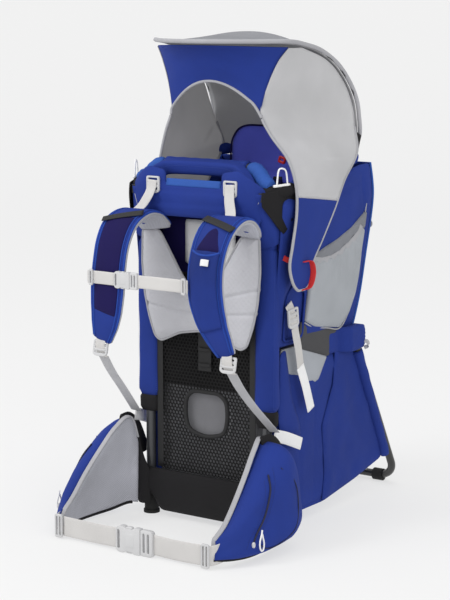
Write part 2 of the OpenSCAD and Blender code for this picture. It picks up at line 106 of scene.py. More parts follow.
def weave_group():
    """Threads along the two directions that lie in a surface, from object coordinates."""
    group = bpy.data.node_groups.new("weave", "ShaderNodeTree")
    group.interface.new_socket("Scale", in_out="INPUT", socket_type="NodeSocketFloat")
    group.interface.new_socket("Value", in_out="OUTPUT", socket_type="NodeSocketFloat")
    nodes, links = group.nodes, group.links
    start = nodes.new("NodeGroupInput")
    end = nodes.new("NodeGroupOutput")
    coords = nodes.new("ShaderNodeTexCoord")

    def math_node(kind, a, b=None):
        node = nodes.new("ShaderNodeMath")
        node.operation = kind
        for socket, value in zip(node.inputs, (a, b)):
            if isinstance(value, (int, float)):
                socket.default_value = value
            elif value is not None:
                links.new(value, socket)
        return node.outputs[0]

    place = nodes.new("ShaderNodeSeparateXYZ")
    links.new(coords.outputs["Object"], place.inputs[0])
    normal = nodes.new("ShaderNodeSeparateXYZ")
    links.new(coords.outputs["Normal"], normal.inputs[0])
    wave = [math_node("SINE", math_node("MULTIPLY", place.outputs[k], start.outputs[0])) for k in range(3)]
    total = None
    for k in range(3):
        part = math_node("MULTIPLY", wave[(k + 1) % 3], wave[(k + 2) % 3])
        part = math_node("MULTIPLY", part, math_node("POWER", math_node("ABSOLUTE", normal.outputs[k]), 2))
        total = part if total is None else math_node("ADD", total, part)
    links.new(total, end.inputs[0])
    return group


WEAVE = weave_group()


def material(name, rgb, rough=0.8, thread=1.2, weave=0.25, vary=0.06, bump=0.3, grain=900,
             metal=0.0, glow=0.0, holes=0.0, coat=0.0, spec=0.5):
    """Cloth or moulded surface: colour varies slowly, a weave of thread mm, and fine grain in its bump."""
    mat = bpy.data.materials.new(name)
    mat.use_nodes = True
    nodes, links = mat.node_tree.nodes, mat.node_tree.links
    shader = nodes["Principled BSDF"]
    shader.inputs["Metallic"].default_value = metal
    shader.inputs["Emission Color"].default_value = linear(rgb)
    shader.inputs["Emission Strength"].default_value = glow
    shader.inputs["Coat Weight"].default_value = coat
    shader.inputs["Specular IOR Level"].default_value = spec
    coords = nodes.new("ShaderNodeTexCoord")

    def cloud(scale, detail):
        node = nodes.new("ShaderNodeTexNoise")
        node.inputs["Scale"].default_value = scale
        node.inputs["Detail"].default_value = detail
        links.new(coords.outputs["Object"], node.inputs["Vector"])
        return node.outputs["Fac"]

    slow = cloud(9, 3)
    fine = cloud(grain, 2)
    threads = nodes.new("ShaderNodeGroup")
    threads.node_tree = WEAVE
    threads.inputs["Scale"].default_value = 2 * math.pi / (thread / 1000)
    mix = nodes.new("ShaderNodeMath")
    mix.operation = "MULTIPLY_ADD"
    links.new(threads.outputs[0], mix.inputs[0])
    mix.inputs[1].default_value = weave
    links.new(slow, mix.inputs[2])
    ramp = nodes.new("ShaderNodeValToRGB")
    ramp.color_ramp.elements[0].position = 0.25
    ramp.color_ramp.elements[1].position = 0.75
    ramp.color_ramp.elements[0].color = linear(shade(rgb, 1 - vary))
    ramp.color_ramp.elements[1].color = linear(shade(rgb, 1 + vary))
    links.new(mix.outputs[0], ramp.inputs[0])
    links.new(ramp.outputs[0], shader.inputs["Base Color"])
    gloss = nodes.new("ShaderNodeMapRange")
    gloss.inputs["To Min"].default_value = max(0.05, rough - 0.08)
    gloss.inputs["To Max"].default_value = min(1.0, rough + 0.08)
    links.new(slow, gloss.inputs[0])
    links.new(gloss.outputs[0], shader.inputs["Roughness"])
    height = nodes.new("ShaderNodeMath")
    height.operation = "MULTIPLY_ADD"
    links.new(threads.outputs[0], height.inputs[0])
    height.inputs[1].default_value = 0.6 if weave else 0.0
    links.new(fine, height.inputs[2])
    relief = nodes.new("ShaderNodeBump")
    relief.inputs["Strength"].default_value = bump
    relief.inputs["Distance"].default_value = 0.0004
    links.new(height.outputs[0], relief.inputs["Height"])
    links.new(relief.outputs[0], shader.inputs["Normal"])
    if holes:
        gate = nodes.new("ShaderNodeMapRange")
        gate.inputs["From Min"].default_value = -0.6
        gate.inputs["From Max"].default_value = 0.6
        gate.inputs["To Min"].default_value = 1.0
        gate.inputs["To Max"].default_value = 1.0 - holes
        links.new(threads.outputs[0], gate.inputs[0])
        links.new(gate.outputs[0], shader.inputs["Alpha"])
    return mat


BLUE = (33, 54, 132)
blue = material("blue_nylon", BLUE, 0.85, 1.1, spec=0.22)
blue_light = material("blue_light_nylon", (44, 84, 162), 0.8, 1.3, spec=0.3)
# Headrest blue made lighter than its cloth and given a weak glow: painted light that lifts it out of the hood's shade
blue_rest = material("blue_headrest", (92, 100, 214), 0.85, 1.6, glow=0.06, spec=0.2)
navy = material("navy_nylon", (26, 20, 74), 0.9, 1.1, spec=0.2)
blue_mesh = material("blue_stretch_mesh", (30, 50, 122), 0.85, 2.2, 0.5, 0.16, 0.5, spec=0.2)
black = material("black_nylon", (25, 24, 26), 0.85, 1.2, spec=0.3)
black_net = material("black_net", (28, 28, 29), 0.7, 1.0, spec=0.3)
grey_mesh = material("grey_sun_mesh", (197, 197, 199), 0.8, 2.0, 0.6, 0.07, 0.4, holes=0.3, spec=0.3)
grey_roof = material("grey_roof_nylon", (132, 133, 138), 0.8, 1.1, spec=0.3)
# Light that comes through the thin cloth from outside
roof_inside = material("grey_roof_inside", (150, 150, 152), 0.85, 1.1, glow=0.16, spec=0.2)
mesh_inside = material("grey_mesh_inside", (158, 157, 158), 0.85, 2.0, 0.6, 0.08, glow=0.26, holes=0.2,
                       spec=0.2)
grey_pocket = material("grey_pocket_mesh", (168, 172, 177), 0.8, 1.6, 0.5, 0.08, 0.5, holes=0.1,
                       spec=0.3)
grey_window = material("grey_window_mesh", (128, 130, 136), 0.8, 1.6, 0.5, 0.08, 0.5, spec=0.3)
grey_dark = material("dark_grey_nylon", (72, 72, 74), 0.85, 1.1, spec=0.3)
grey_light = material("light_grey_nylon", (160, 164, 170), 0.8, 1.1, spec=0.3)
grey_liner = material("grey_liner", (120, 120, 124), 0.85, 1.2)
quilt = material("quilted_grey", (192, 192, 197), 0.88, 1.8, 0.4, 0.07, 0.5, spec=0.3)
knit = material("grey_spacer_mesh", (172, 173, 181), 0.9, 3.4, 0.6, 0.12, 0.8, spec=0.3)
webbing = material("grey_webbing", (203, 201, 199), 0.75, 1.5, 0.5, 0.05, 0.5, spec=0.3)
webbing_mid = material("mid_grey_webbing", (176, 176, 179), 0.75, 1.5, 0.5, 0.06, 0.5, spec=0.3)
webbing_white = material("white_webbing", (236, 236, 236), 0.75, 1.5, 0.4, 0.03, 0.4, spec=0.3)
webbing_black = material("black_webbing", (31, 31, 32), 0.75, 1.5, 0.4, 0.1, 0.5)
piping = material("light_piping", (166, 166, 170), 0.75, 1.0, 0.3, 0.05, spec=0.3)
piping_blue = material("blue_binding", (36, 70, 158), 0.8, 1.0, 0.3, 0.06, spec=0.25)
red = material("red_webbing", (196, 30, 30), 0.7, 1.4, 0.4, 0.07)
red_hard = material("red_moulding", (205, 28, 30), 0.35, weave=0.0, bump=0.08, coat=0.2)
hard_grey = material("light_grey_moulding", (196, 196, 197), 0.42, weave=0.0, vary=0.03, bump=0.12)
hard_black = material("black_moulding", (28, 28, 29), 0.45, weave=0.0, vary=0.12, bump=0.15)
tube_black = material("black_tube", (34, 34, 35), 0.38, weave=0.0, bump=0.15, coat=0.25)
tube_grey = material("coated_frame_tube", (62, 63, 66), 0.36, weave=0.0, bump=0.12, coat=0.3)
steel = material("steel", (176, 178, 182), 0.3, weave=0.0, vary=0.05, bump=0.1, metal=1.0)
rubber = material("black_rubber", (26, 26, 26), 0.9, weave=0.0, vary=0.15, bump=0.5, grain=500)
thread_blue = material("blue_thread", (52, 76, 160), 0.7, weave=0.0)
thread_grey = material("grey_thread", (130, 130, 134), 0.7, weave=0.0)
thread_dark = material("dark_thread", (20, 22, 52), 0.7, weave=0.0)


# ---- Mesh tools ----

def xyz(x, y, z):
    """Points from their coordinates; a single number is the same for every point."""
    return np.stack(np.broadcast_arrays(x, y, z), axis=-1)


def metres(points):
    return (np.asarray(points, float) - (0, MIDDLE_Y, 0)) / 1000


def piece(name, verts, faces, mats, body, hides=(), indices=None):
    """Closed mesh from points in mm. indices gives each face's material."""
    mats = mats if isinstance(mats, (list, tuple)) else [mats]
    mesh = bpy.data.meshes.new(name)
    mesh.from_pydata(metres(verts).tolist(), [], [list(map(int, f)) for f in faces])
    for mat in mats:
        mesh.materials.append(mat)
    if indices is not None:
        mesh.polygons.foreach_set("material_index", np.asarray(indices, np.int32))
    work = bmesh.new()
    work.from_mesh(mesh)
    bmesh.ops.recalc_face_normals(work, faces=work.faces)
    for face in work.faces:
        face.smooth = True
    work.to_mesh(mesh)
    work.free()
    obj = bpy.data.objects.new(name, mesh)
    scene.collection.objects.link(obj)
    if isinstance(body, tuple):
        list(body)
        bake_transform(obj)
    else:
        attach(obj, body)
    if hides:
        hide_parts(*hides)
    return obj


def unit(v):
    v = np.asarray(v, float)
    return v / np.maximum(np.linalg.norm(v, axis=-1, keepdims=True), 1e-9)


def curve(points, n, closed=False):
    """n points on a smooth curve through points, evenly spaced along it."""
    p = np.asarray(points, float)
    p = np.vstack([p[-1], p, p[0], p[1]]) if closed else np.vstack([2 * p[0] - p[1], p, 2 * p[-1] - p[-2]])
    fine = []
    for k in range(1, len(p) - 2):
        t = np.linspace(0, 1, 24, endpoint=False)[:, None]
        a, b, c, d = p[k - 1], p[k], p[k + 1], p[k + 2]
        fine.append(0.5 * (2 * b + (c - a) * t + (2 * a - 5 * b + 4 * c - d) * t ** 2
                           + (3 * b - a - 3 * c + d) * t ** 3))
    fine = np.vstack(fine + [p[-2][None]])
    return spaced(fine, n)


def spaced(line, n):
    line = np.asarray(line, float)
    run = np.concatenate([[0], np.cumsum(np.linalg.norm(np.diff(line, axis=0), axis=1))])
    at = np.linspace(0, run[-1], n)
    return np.stack([np.interp(at, run, line[:, k]) for k in range(line.shape[1])], axis=1)


def tangents(path, closed=False):
    if closed:
        return unit(np.roll(path, -1, axis=0) - np.roll(path, 1, axis=0))
    return unit(np.gradient(path, axis=0))


def sweep(name, rings, mats, body, hides=(), closed=False, strips=None):
    """Closed surface through rings of points. strips gives the material of each side strip of a ring."""
    rings = np.asarray(rings, float)
    m, n = rings.shape[:2]
    faces, index = [], []
    for i in range(m if closed else m - 1):
        for j in range(n):
            a, b = i * n, ((i + 1) % m) * n
            faces.append((a + j, b + j, b + (j + 1) % n, a + (j + 1) % n))
            index.append(strips[j] if strips else 0)
    verts = rings.reshape(-1, 3)
    if not closed:
        for base, ring in ((0, rings[0]), ((m - 1) * n, rings[-1])):
            verts = np.vstack([verts, ring.mean(axis=0)])
            faces += [(base + j, base + (j + 1) % n, len(verts) - 1) for j in range(n)]
            index += [0] * n
    return piece(name, verts, faces, mats, body, hides, index)


def tube(name, path, radius, mat, body, hides=(), sides=10, closed=False):
    path = np.asarray(path, float)
    t = tangents(path, closed)
    side = np.cross(t[0], (0, 0, 1) if abs(t[0][2]) < 0.9 else (0, 1, 0))
    angles = np.linspace(0, 2 * math.pi, sides, endpoint=False)
    radius = np.broadcast_to(radius, len(path))
    rings = []
    for k in range(len(path)):
        side = unit(side - t[k] * np.dot(side, t[k]))
        up = np.cross(t[k], side)
        rings.append(path[k] + radius[k] * (np.outer(np.cos(angles), side) + np.outer(np.sin(angles), up)))
    return sweep(name, rings, mat, body, hides, closed)


def band(name, path, side, half, thick, mats, body, hides=(), crown=0.0, across=8):
    """Flat strap: path along its middle, side its width direction, with rounded edges and a crown."""
    path = np.asarray(path, float)
    t = tangents(path)
    side = np.broadcast_to(side, path.shape)
    side = unit(side - t * np.sum(side * t, axis=1, keepdims=True))
    up = np.cross(side, t)
    half = np.broadcast_to(half, len(path))
    s = np.sin(np.linspace(-math.pi / 2, math.pi / 2, across))
    edge = (1 - np.abs(s) ** 6) ** 0.5 * 0.5 + 0.08
    rings = []
    for k in range(len(path)):
        out = path[k] + np.outer(s * half[k], side[k]) + np.outer(edge * thick + crown * (1 - s ** 2), up[k])
        low = path[k] + np.outer(s * half[k], side[k]) - np.outer(edge * thick, up[k])
        rings.append(np.vstack([out, low[::-1]]))
    return sweep(name, rings, mats, body, hides)


def shell(name, grid, thick, mats, body, hides=()):
    """Sheet of even thickness from a grid of points on its face. A second material goes on its back."""
    mats = mats if isinstance(mats, (list, tuple)) else [mats]
    grid = np.asarray(grid, float)
    m, n = grid.shape[:2]
    normal = unit(np.cross(np.gradient(grid, axis=0), np.gradient(grid, axis=1)))
    back = grid - normal * thick
    verts = np.vstack([grid.reshape(-1, 3), back.reshape(-1, 3)])
    off = m * n
    faces, index = [], []
    for i in range(m - 1):
        for j in range(n - 1):
            q = (i * n + j, (i + 1) * n + j, (i + 1) * n + j + 1, i * n + j + 1)
            faces += [q, tuple(off + v for v in reversed(q))]
            index += [0, len(mats) - 1]
    rim = [(0, j) for j in range(n)] + [(i, n - 1) for i in range(1, m)]
    rim += [(m - 1, j) for j in range(n - 2, -1, -1)] + [(i, 0) for i in range(m - 2, 0, -1)]
    rim = [i * n + j for i, j in rim]
    for a, b in zip(rim, rim[1:] + rim[:1]):
        faces.append((a, b, off + b, off + a))
        index.append(0)
    return piece(name, verts, faces, mats, body, hides, index)


def rounded(outline, radius, step=4):
    """Outline with its corners rounded, as points about step mm apart."""
    pts = np.asarray(outline, float)
    n = len(pts)
    radius = np.broadcast_to(radius, n)
    line = []
    for k in range(n):
        p, a, b = pts[k], pts[k - 1], pts[(k + 1) % n]
        cut = min(radius[k], 0.45 * np.linalg.norm(a - p), 0.45 * np.linalg.norm(b - p))
        start, end = p + unit(a - p) * cut, p + unit(b - p) * cut
        for t in np.linspace(0, 1, 7):
            line.append((1 - t) ** 2 * start + 2 * t * (1 - t) * p + t ** 2 * end)
    line = np.array(line + [line[0]])
    total = np.linalg.norm(np.diff(line, axis=0), axis=1).sum()
    return spaced(line, max(12, int(total / step)))[:-1]


def inside(points, loop):
    x, y = points[:, 0], points[:, 1]
    hit = np.zeros(len(points), bool)
    for a, b in zip(loop, np.roll(loop, -1, axis=0)):
        cross = (a[1] > y) != (b[1] > y)
        with np.errstate(divide="ignore", invalid="ignore"):
            at = (b[0] - a[0]) * (y - a[1]) / (b[1] - a[1]) + a[0]
        hit ^= cross & (x < at)
    return hit


def reach(points, line, closed=False):
    """Distance from each point to a line of points in the plane."""
    line = np.asarray(line, float)
    ends = np.roll(line, -1, axis=0) if closed else line[1:]
    best = np.full(len(points), 1e9)
    for a, b in zip(line if closed else line[:-1], ends):
        d = b - a
        t = np.clip(((points - a) @ d) / max(d @ d, 1e-9), 0, 1)
        best = np.minimum(best, np.linalg.norm(points - a - t[:, None] * d, axis=1))
    return best


def triangles(loops, step):
    """Even triangles inside the first loop and outside the others."""
    low, high = loops[0].min(axis=0), loops[0].max(axis=0)
    xs = np.arange(low[0], high[0], step)
    ys = np.arange(low[1], high[1], step * 0.866)
    inner = np.array([(x + (step / 2 if k % 2 else 0), y) for k, y in enumerate(ys) for x in xs])
    keep = inside(inner, loops[0])
    gap = reach(inner, loops[0], True)
    for hole in loops[1:]:
        keep &= ~inside(inner, hole)
        gap = np.minimum(gap, reach(inner, hole, True))
    inner = inner[keep & (gap > step * 0.5)]
    points, edges = [], []
    for loop in loops:
        base = len(points)
        points += list(loop)
        edges += [(base + k, base + (k + 1) % len(loop)) for k in range(len(loop))]
    points = np.vstack([points, inner])
    out = geometry.delaunay_2d_cdt([Vector(p) for p in points], edges, [], 0, 1e-4)
    points = np.array([tuple(v) for v in out[0]])
    tris = np.array([f for f in out[2] if len(f) == 3])
    middle = points[tris].mean(axis=1)
    keep = inside(middle, loops[0])
    for hole in loops[1:]:
        keep &= ~inside(middle, hole)
    return points, tris[keep]


def panel(name, outline, place, mats, body, hides=(), step=6, holes=(), rise=4.0, edge=14.0, thick=2.0,
          seams=(), groove=1.6, wave=0.0, form=None, corner=6):
    """Sewn panel: crowned between its edges, pulled in along its seams, with an even thickness.
    place(u, v, out) gives the 3-D points, and form(u, v) adds to the crown."""
    loops = [rounded(outline, corner, step)] + [rounded(h, 8, step) for h in holes]
    pts, tris = triangles(loops, step)
    gap = reach(pts, loops[0], True)
    for loop in loops[1:]:
        gap = np.minimum(gap, reach(pts, loop, True))
    out = rise * np.sin(np.clip(gap / edge, 0, 1) * math.pi / 2)
    for line in seams:
        out -= groove * np.exp(-(reach(pts, line) / 3.0) ** 2)
    if wave:
        out += wave * np.clip(gap / 20, 0, 1) * np.array(
            [noise.noise(Vector((u / 45, v / 60, 3.1))) for u, v in pts])
    if form is not None:
        out += form(pts[:, 0], pts[:, 1])
    front = place(pts[:, 0], pts[:, 1], out)
    back = place(pts[:, 0], pts[:, 1], np.minimum(out, 0) - thick)
    n = len(pts)
    faces = [tuple(t) for t in tris] + [tuple(n + v for v in reversed(t)) for t in tris]
    count = {}
    for t in tris:
        for a, b in ((t[0], t[1]), (t[1], t[2]), (t[2], t[0])):
            count[(a, b)] = count.get((a, b), 0) + 1
    faces += [(b, a, n + a, n + b) for a, b in count if (b, a) not in count]
    return piece(name, np.vstack([front, back]), faces, mats, body, hides)


def line_on(place, line, n, out=0.0):
    pts = curve(line, n) if len(line) > 2 else spaced(line, n)
    return place(pts[:, 0], pts[:, 1], np.full(len(pts), float(out)))


STITCHES = {}


def stitch(body, mat, path, pitch=4.0, length=2.6, r=0.42):
    """Row of raised stitches along a line of points; rows of one body and thread become one mesh."""
    path = np.asarray(path, float)
    total = np.linalg.norm(np.diff(path, axis=0), axis=1).sum()
    count = max(2, int(total / pitch))
    at = spaced(path, count)
    t = tangents(at)
    verts, faces = STITCHES.setdefault((body, mat.name), ([], []))
    for p, d in zip(at, t):
        a = unit(np.cross(d, (0.3, 0.5, 0.81)))
        b = np.cross(d, a)
        base = len(verts)
        verts += [p - d * length / 2, p + a * r, p + b * r, p - a * r, p - b * r, p + d * length / 2]
        for k in range(4):
            faces.append((base, base + 1 + k, base + 1 + (k + 1) % 4))
            faces.append((base + 5, base + 1 + (k + 1) % 4, base + 1 + k))


def moulded(name, outline, holes, t, place, mat, body, hides=(), bevel=1.2, corner=3, step=3.0):
    """Moulded plate with rounded edges, from an outline and its openings; place(u, v, out) as in panel."""
    loops = [rounded(outline, corner, step)] + [rounded(h, 1.5, step) for h in holes]
    pts, edges = [], []
    for loop in loops:
        base = len(pts)
        pts += [Vector(p) for p in loop]
        edges += [(base + k, base + (k + 1) % len(loop)) for k in range(len(loop))]
    out = geometry.delaunay_2d_cdt(pts, edges, [], 0, 1e-4)
    flat = np.array([tuple(v) for v in out[0]])
    tris = np.array([f for f in out[2] if len(f) == 3])
    middle = flat[tris].mean(axis=1)
    keep = inside(middle, loops[0])
    for hole in loops[1:]:
        keep &= ~inside(middle, hole)
    tris = tris[keep]
    n = len(flat)
    verts = np.vstack([place(flat[:, 0], flat[:, 1], np.full(n, t / 2)),
                       place(flat[:, 0], flat[:, 1], np.full(n, -t / 2))])
    faces = [tuple(f) for f in tris] + [tuple(n + v for v in reversed(f)) for f in tris]
    seen = {(f[a], f[(a + 1) % 3]) for f in tris for a in range(3)}
    faces += [(b, a, n + a, n + b) for a, b in seen if (b, a) not in seen]
    obj = piece(name, verts, faces, mat, body, hides)
    mod = obj.modifiers.new("bevel", "BEVEL")
    mod.width = bevel / 1000
    mod.segments = 2
    mod.limit_method = "ANGLE"
    mod.angle_limit = math.radians(50)
    return obj


def join(name, objs, hides=()):
    """One piece from several that were made the same way and ride on the same body."""
    for o in objs:
        bpy.context.view_layer.objects.active = o
        for mod in list(o.modifiers):
            with bpy.context.temp_override(object=o, active_object=o):
                bpy.ops.object.modifier_apply(modifier=mod.name)
    keep = objs[0]
    with bpy.context.temp_override(active_object=keep, object=keep, selected_objects=objs,
                                   selected_editable_objects=objs):
        bpy.ops.object.join()
    keep.name = name
    keep.data.name = name
    if hides:
        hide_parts(*hides)
    return keep


def mirror(points, s):
    return np.asarray(points, float) * (s, 1, 1)


def once(s, node):
    """A CAD node that holds both sides is replaced by the piece on the right."""
    return (node,) if s > 0 else ()


def outward(grid, s):
    """Rows turned so that a mirrored grid still faces outward."""
    return grid if s > 0 else [row[::-1] for row in grid]


# ---- Frame, carried over from CAD ----

LOOKS = {
    "main_frame": tube_grey, "lumbar_bar": tube_grey, "seat_frame": tube_grey, "cockpit_rim": tube_grey,
    "rear_stays": tube_grey, "frame_feet": rubber, "rim_clamps": hard_black, "stand_brackets": hard_black,
    "stand_pins": steel, "shade_brackets": hard_black, "kickstand": tube_black, "stand_feet": rubber,
    "shade_hoop": tube_grey,
}
for node, mat in LOOKS.items():
    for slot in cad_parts[node].material_slots:
        slot.material = mat


# ---- Back panel ----

def on_back(y):
    """Places a panel drawn in X and Z that faces the wearer."""
    return lambda u, v, out: xyz(u, y - out, v)


def net(name, outline, hole, y, pitch, mat, body, hides):
    """Open hexagonal net: flat strands round each hole."""
    verts, faces = [], []
    loop, gap = rounded(outline, 4), rounded(hole, 30)
    row = 0
    z = outline[0][1]
    high = max(p[1] for p in outline)
    while z < high:
        x = min(p[0] for p in outline) + (pitch / 2 if row % 2 else 0)
        while x < max(p[0] for p in outline):
            centre = np.array([[x, z]])
            if inside(centre, loop)[0] and not inside(centre, gap)[0]:
                base = len(verts)
                for ring, grow, dy in ((0, 0.60, 0.0), (1, 0.40, -0.6), (2, 0.40, 0.6)):
                    for k in range(6):
                        a = math.pi / 6 + k * math.pi / 3
                        verts.append((x + grow * pitch * math.cos(a), y + dy, z + grow * pitch * math.sin(a)))
                for k in range(6):
                    n = (k + 1) % 6
                    faces.append((base + k, base + n, base + 6 + n, base + 6 + k))
                    faces.append((base + k, base + 12 + k, base + 12 + n, base + n))
                    faces.append((base + 6 + k, base + 6 + n, base + 12 + n, base + 12 + k))
            x += pitch
        z += pitch * 0.866
        row += 1
    return piece(name, verts, faces, mat, body, hides)


mesh_outline = [[-112, 98], [112, 98], [112, 478], [-112, 478]]
mesh_hole = [[-50, 214], [-43, 180], [0, 169], [43, 180], [50, 214], [47, 244], [30, 258], [-30, 258], [-47, 244]]
net("back_net", mesh_outline, mesh_hole, -4.5, 7.6, black_net, "frame", ("back_mesh",))
hole_edge = [(x, -5, z) for x, z in rounded(mesh_hole, 24)]
tube("mesh_hole_binding", hole_edge, 4.2, webbing_black, "frame", closed=True)
for name, s in SIDES:
    band(f"mesh_side_binding_{name}", spaced([[108 * s, -7, 98], [108 * s, -7, 540]], 30), (1, 0, 0), 7, 1.6,
         webbing_black, "frame")

panel("lumbar_cushion", [[-139, 44], [-119, 44], [-100, 14], [100, 14], [119, 44], [139, 44], [139, 96], [-139, 96]],
      on_back(-20), black, "frame", ("lumbar_pad",), step=6, rise=6, edge=22, thick=5, corner=10,
      seams=([[-136, 84], [136, 84]],), wave=1.5)

# Sheets behind the net: grey over the storage bag, black above it
panel("net_backing_low", [[-118, 84], [118, 84], [118, 268], [-118, 268]], on_back(9), grey_liner, "frame", step=8,
      rise=2, edge=30, thick=1.2, wave=5, seams=([[-60, 90], [20, 260]],))
panel("net_backing_high", [[-118, 262], [118, 262], [118, 484], [-118, 484]], on_back(6), black, "frame", step=9,
      rise=2, edge=30, thick=1.2, wave=3)

# Webbing ladder behind the harness pad, with a sewn rung at each back length
band("torso_ladder_web", spaced([[0, -10, 300], [0, -10, 478]], 60), (1, 0, 0), 15, 1.6, webbing_black, "frame",
     ("torso_ladder",))
for rung in range(6):
    z = 312 + 30 * rung
    bow = curve([[-14, -11.4, z], [-9, -13.6, z], [0, -14.2, z], [9, -13.6, z], [14, -11.4, z]], 14)
    band(f"torso_rung_{rung}", bow, (0, 0, 1), 3, 1.2, webbing_black, "frame")

# Sleeves over the uprights, with black caps at the foot
UPRIGHT_X = 136


def sleeve(s, low, high, wide, deep, n):
    """Rings of a soft box section round an upright, a little slack and closed in at its ends."""
    around = np.linspace(0, 2 * math.pi, 28, endpoint=False)
    rings = []
    for k, z in enumerate(np.linspace(low, high, n)):
        slack = 1 + 0.03 * math.sin(z / 31) + 0.02 * math.sin(z / 13 + 1)
        end = min(1, 0.8 + min(k, n - 1 - k) * 0.1)
        x = np.sign(np.cos(around)) * np.abs(np.cos(around)) ** 0.55 * wide * slack * end
        y = np.sign(np.sin(around)) * np.abs(np.sin(around)) ** 0.55 * deep * end
        rings.append(xyz(s * (UPRIGHT_X + x), y, z))
    return rings


for name, s in SIDES:
    sweep(f"sleeve_{name}", sleeve(s, 238, 546, 22.5, 13.5, 60), blue, "frame", ("frame_sleeves",))
    sweep(f"sleeve_top_{name}", sleeve(s, 536, 652, 19, 11.5, 22), blue, "frame")
    sweep(f"sleeve_cap_{name}", sleeve(s, 206, 240, 21, 12.5, 10), black, "frame")
    for x in (UPRIGHT_X - 21, UPRIGHT_X + 21):
        stitch("frame", thread_blue, [(s * x, -10, 246), (s * x, -10, 540)])

# Yoke across the front of the top bar
yoke_half = [[92, 597], [119, 574], [142, 590], [157, 636], [152, 655], [126, 676], [102, 690], [64, 683], [64, 656]]
yoke = yoke_half + [[-x, z] for x, z in yoke_half[::-1]]


def yoke_place(u, v, out):
    wrap = np.clip((np.abs(u) - 104) / 50, 0, 1)
    return xyz(u * (1 - 0.02 * wrap), -46 - out + 18 * wrap ** 2, v)


panel("yoke_panel", yoke, yoke_place, blue, "frame", ("yoke_cover",), step=5, rise=6, edge=20, thick=2.5,
      seams=([[-118, 622], [118, 622]], [[-98, 668], [-74, 622]], [[98, 668], [74, 622]],
             [[-98, 646], [98, 646]]), wave=3, corner=9)
for name, s in SIDES:
    tube(f"yoke_piping_{name}",
         line_on(yoke_place, [[s * 152, 648], [s * 136, 620], [s * 118, 592]], 24, 4.5), 1.0, piping, "frame")
band("yoke_slot_flap", spaced([[-62, -45, 661], [62, -45, 661]], 20), (0, 0.25, 1), 7, 2.4, blue_light, "frame",
     crown=1.5)

def roll(name, path, radius, mat, hides=()):
    n = len(path)
    end = np.minimum(1, 0.72 + 0.28 * np.minimum(np.arange(n), np.arange(n)[::-1]) / 3)
    ripple = 1 + 0.025 * np.sin(np.arange(n) * 1.3)
    return tube(name, path, radius * end * ripple, mat, "frame", hides, sides=22)


# Padded arch handle over the bar
arch_half = [[-2, -14, 690], [62, -17, 689], [92, -24, 681], [112, -32, 663], [120, -36, 640]]
arch_path = curve([[-x, y, z] for x, y, z in arch_half[:0:-1]] + arch_half[1:], 80)
band("handle_arch", arch_path, (0, 1, 0.25), 12, 22, blue, "frame", ("grab_handle",), crown=3, across=14)
for name, s in SIDES:
    roll(f"shoulder_roll_{name}", curve([[s * 96, 0, 690], [s * 114, -2, 684], [s * 130, -6, 669],
                                         [s * 140, -10, 663], [s * 151, -12, 660]], 26), 15.5, blue_light)
bar_pad = spaced([[-92, 0, 690], [92, 0, 690]], 40)
tube("handle_roll", bar_pad, 14 + np.sin(np.linspace(0, 40, 40)) * 0.3, blue, "frame", sides=20)
stitch("frame", thread_blue, curve([[-106, -47, 662], [-86, -38, 682], [-60, -32, 690], [0, -29, 691],
                                    [60, -32, 690], [86, -38, 682], [106, -47, 662]], 60))


# ---- Cockpit rim pads ----

RIM_TILT = math.radians(10)
RIM_X = 168
RIM_BEND = 60


def rim(x, run):
    """Point on the tilted cockpit rim, run mm back from its front bar."""
    return [x, -30 + run * math.cos(RIM_TILT), 645 + run * math.sin(RIM_TILT)]


def rim_bend(s, run, across, back):
    """Point of a rim corner, as shares of its bend across and back."""
    return rim(s * (RIM_X - RIM_BEND + RIM_BEND * across), run + RIM_BEND * back)


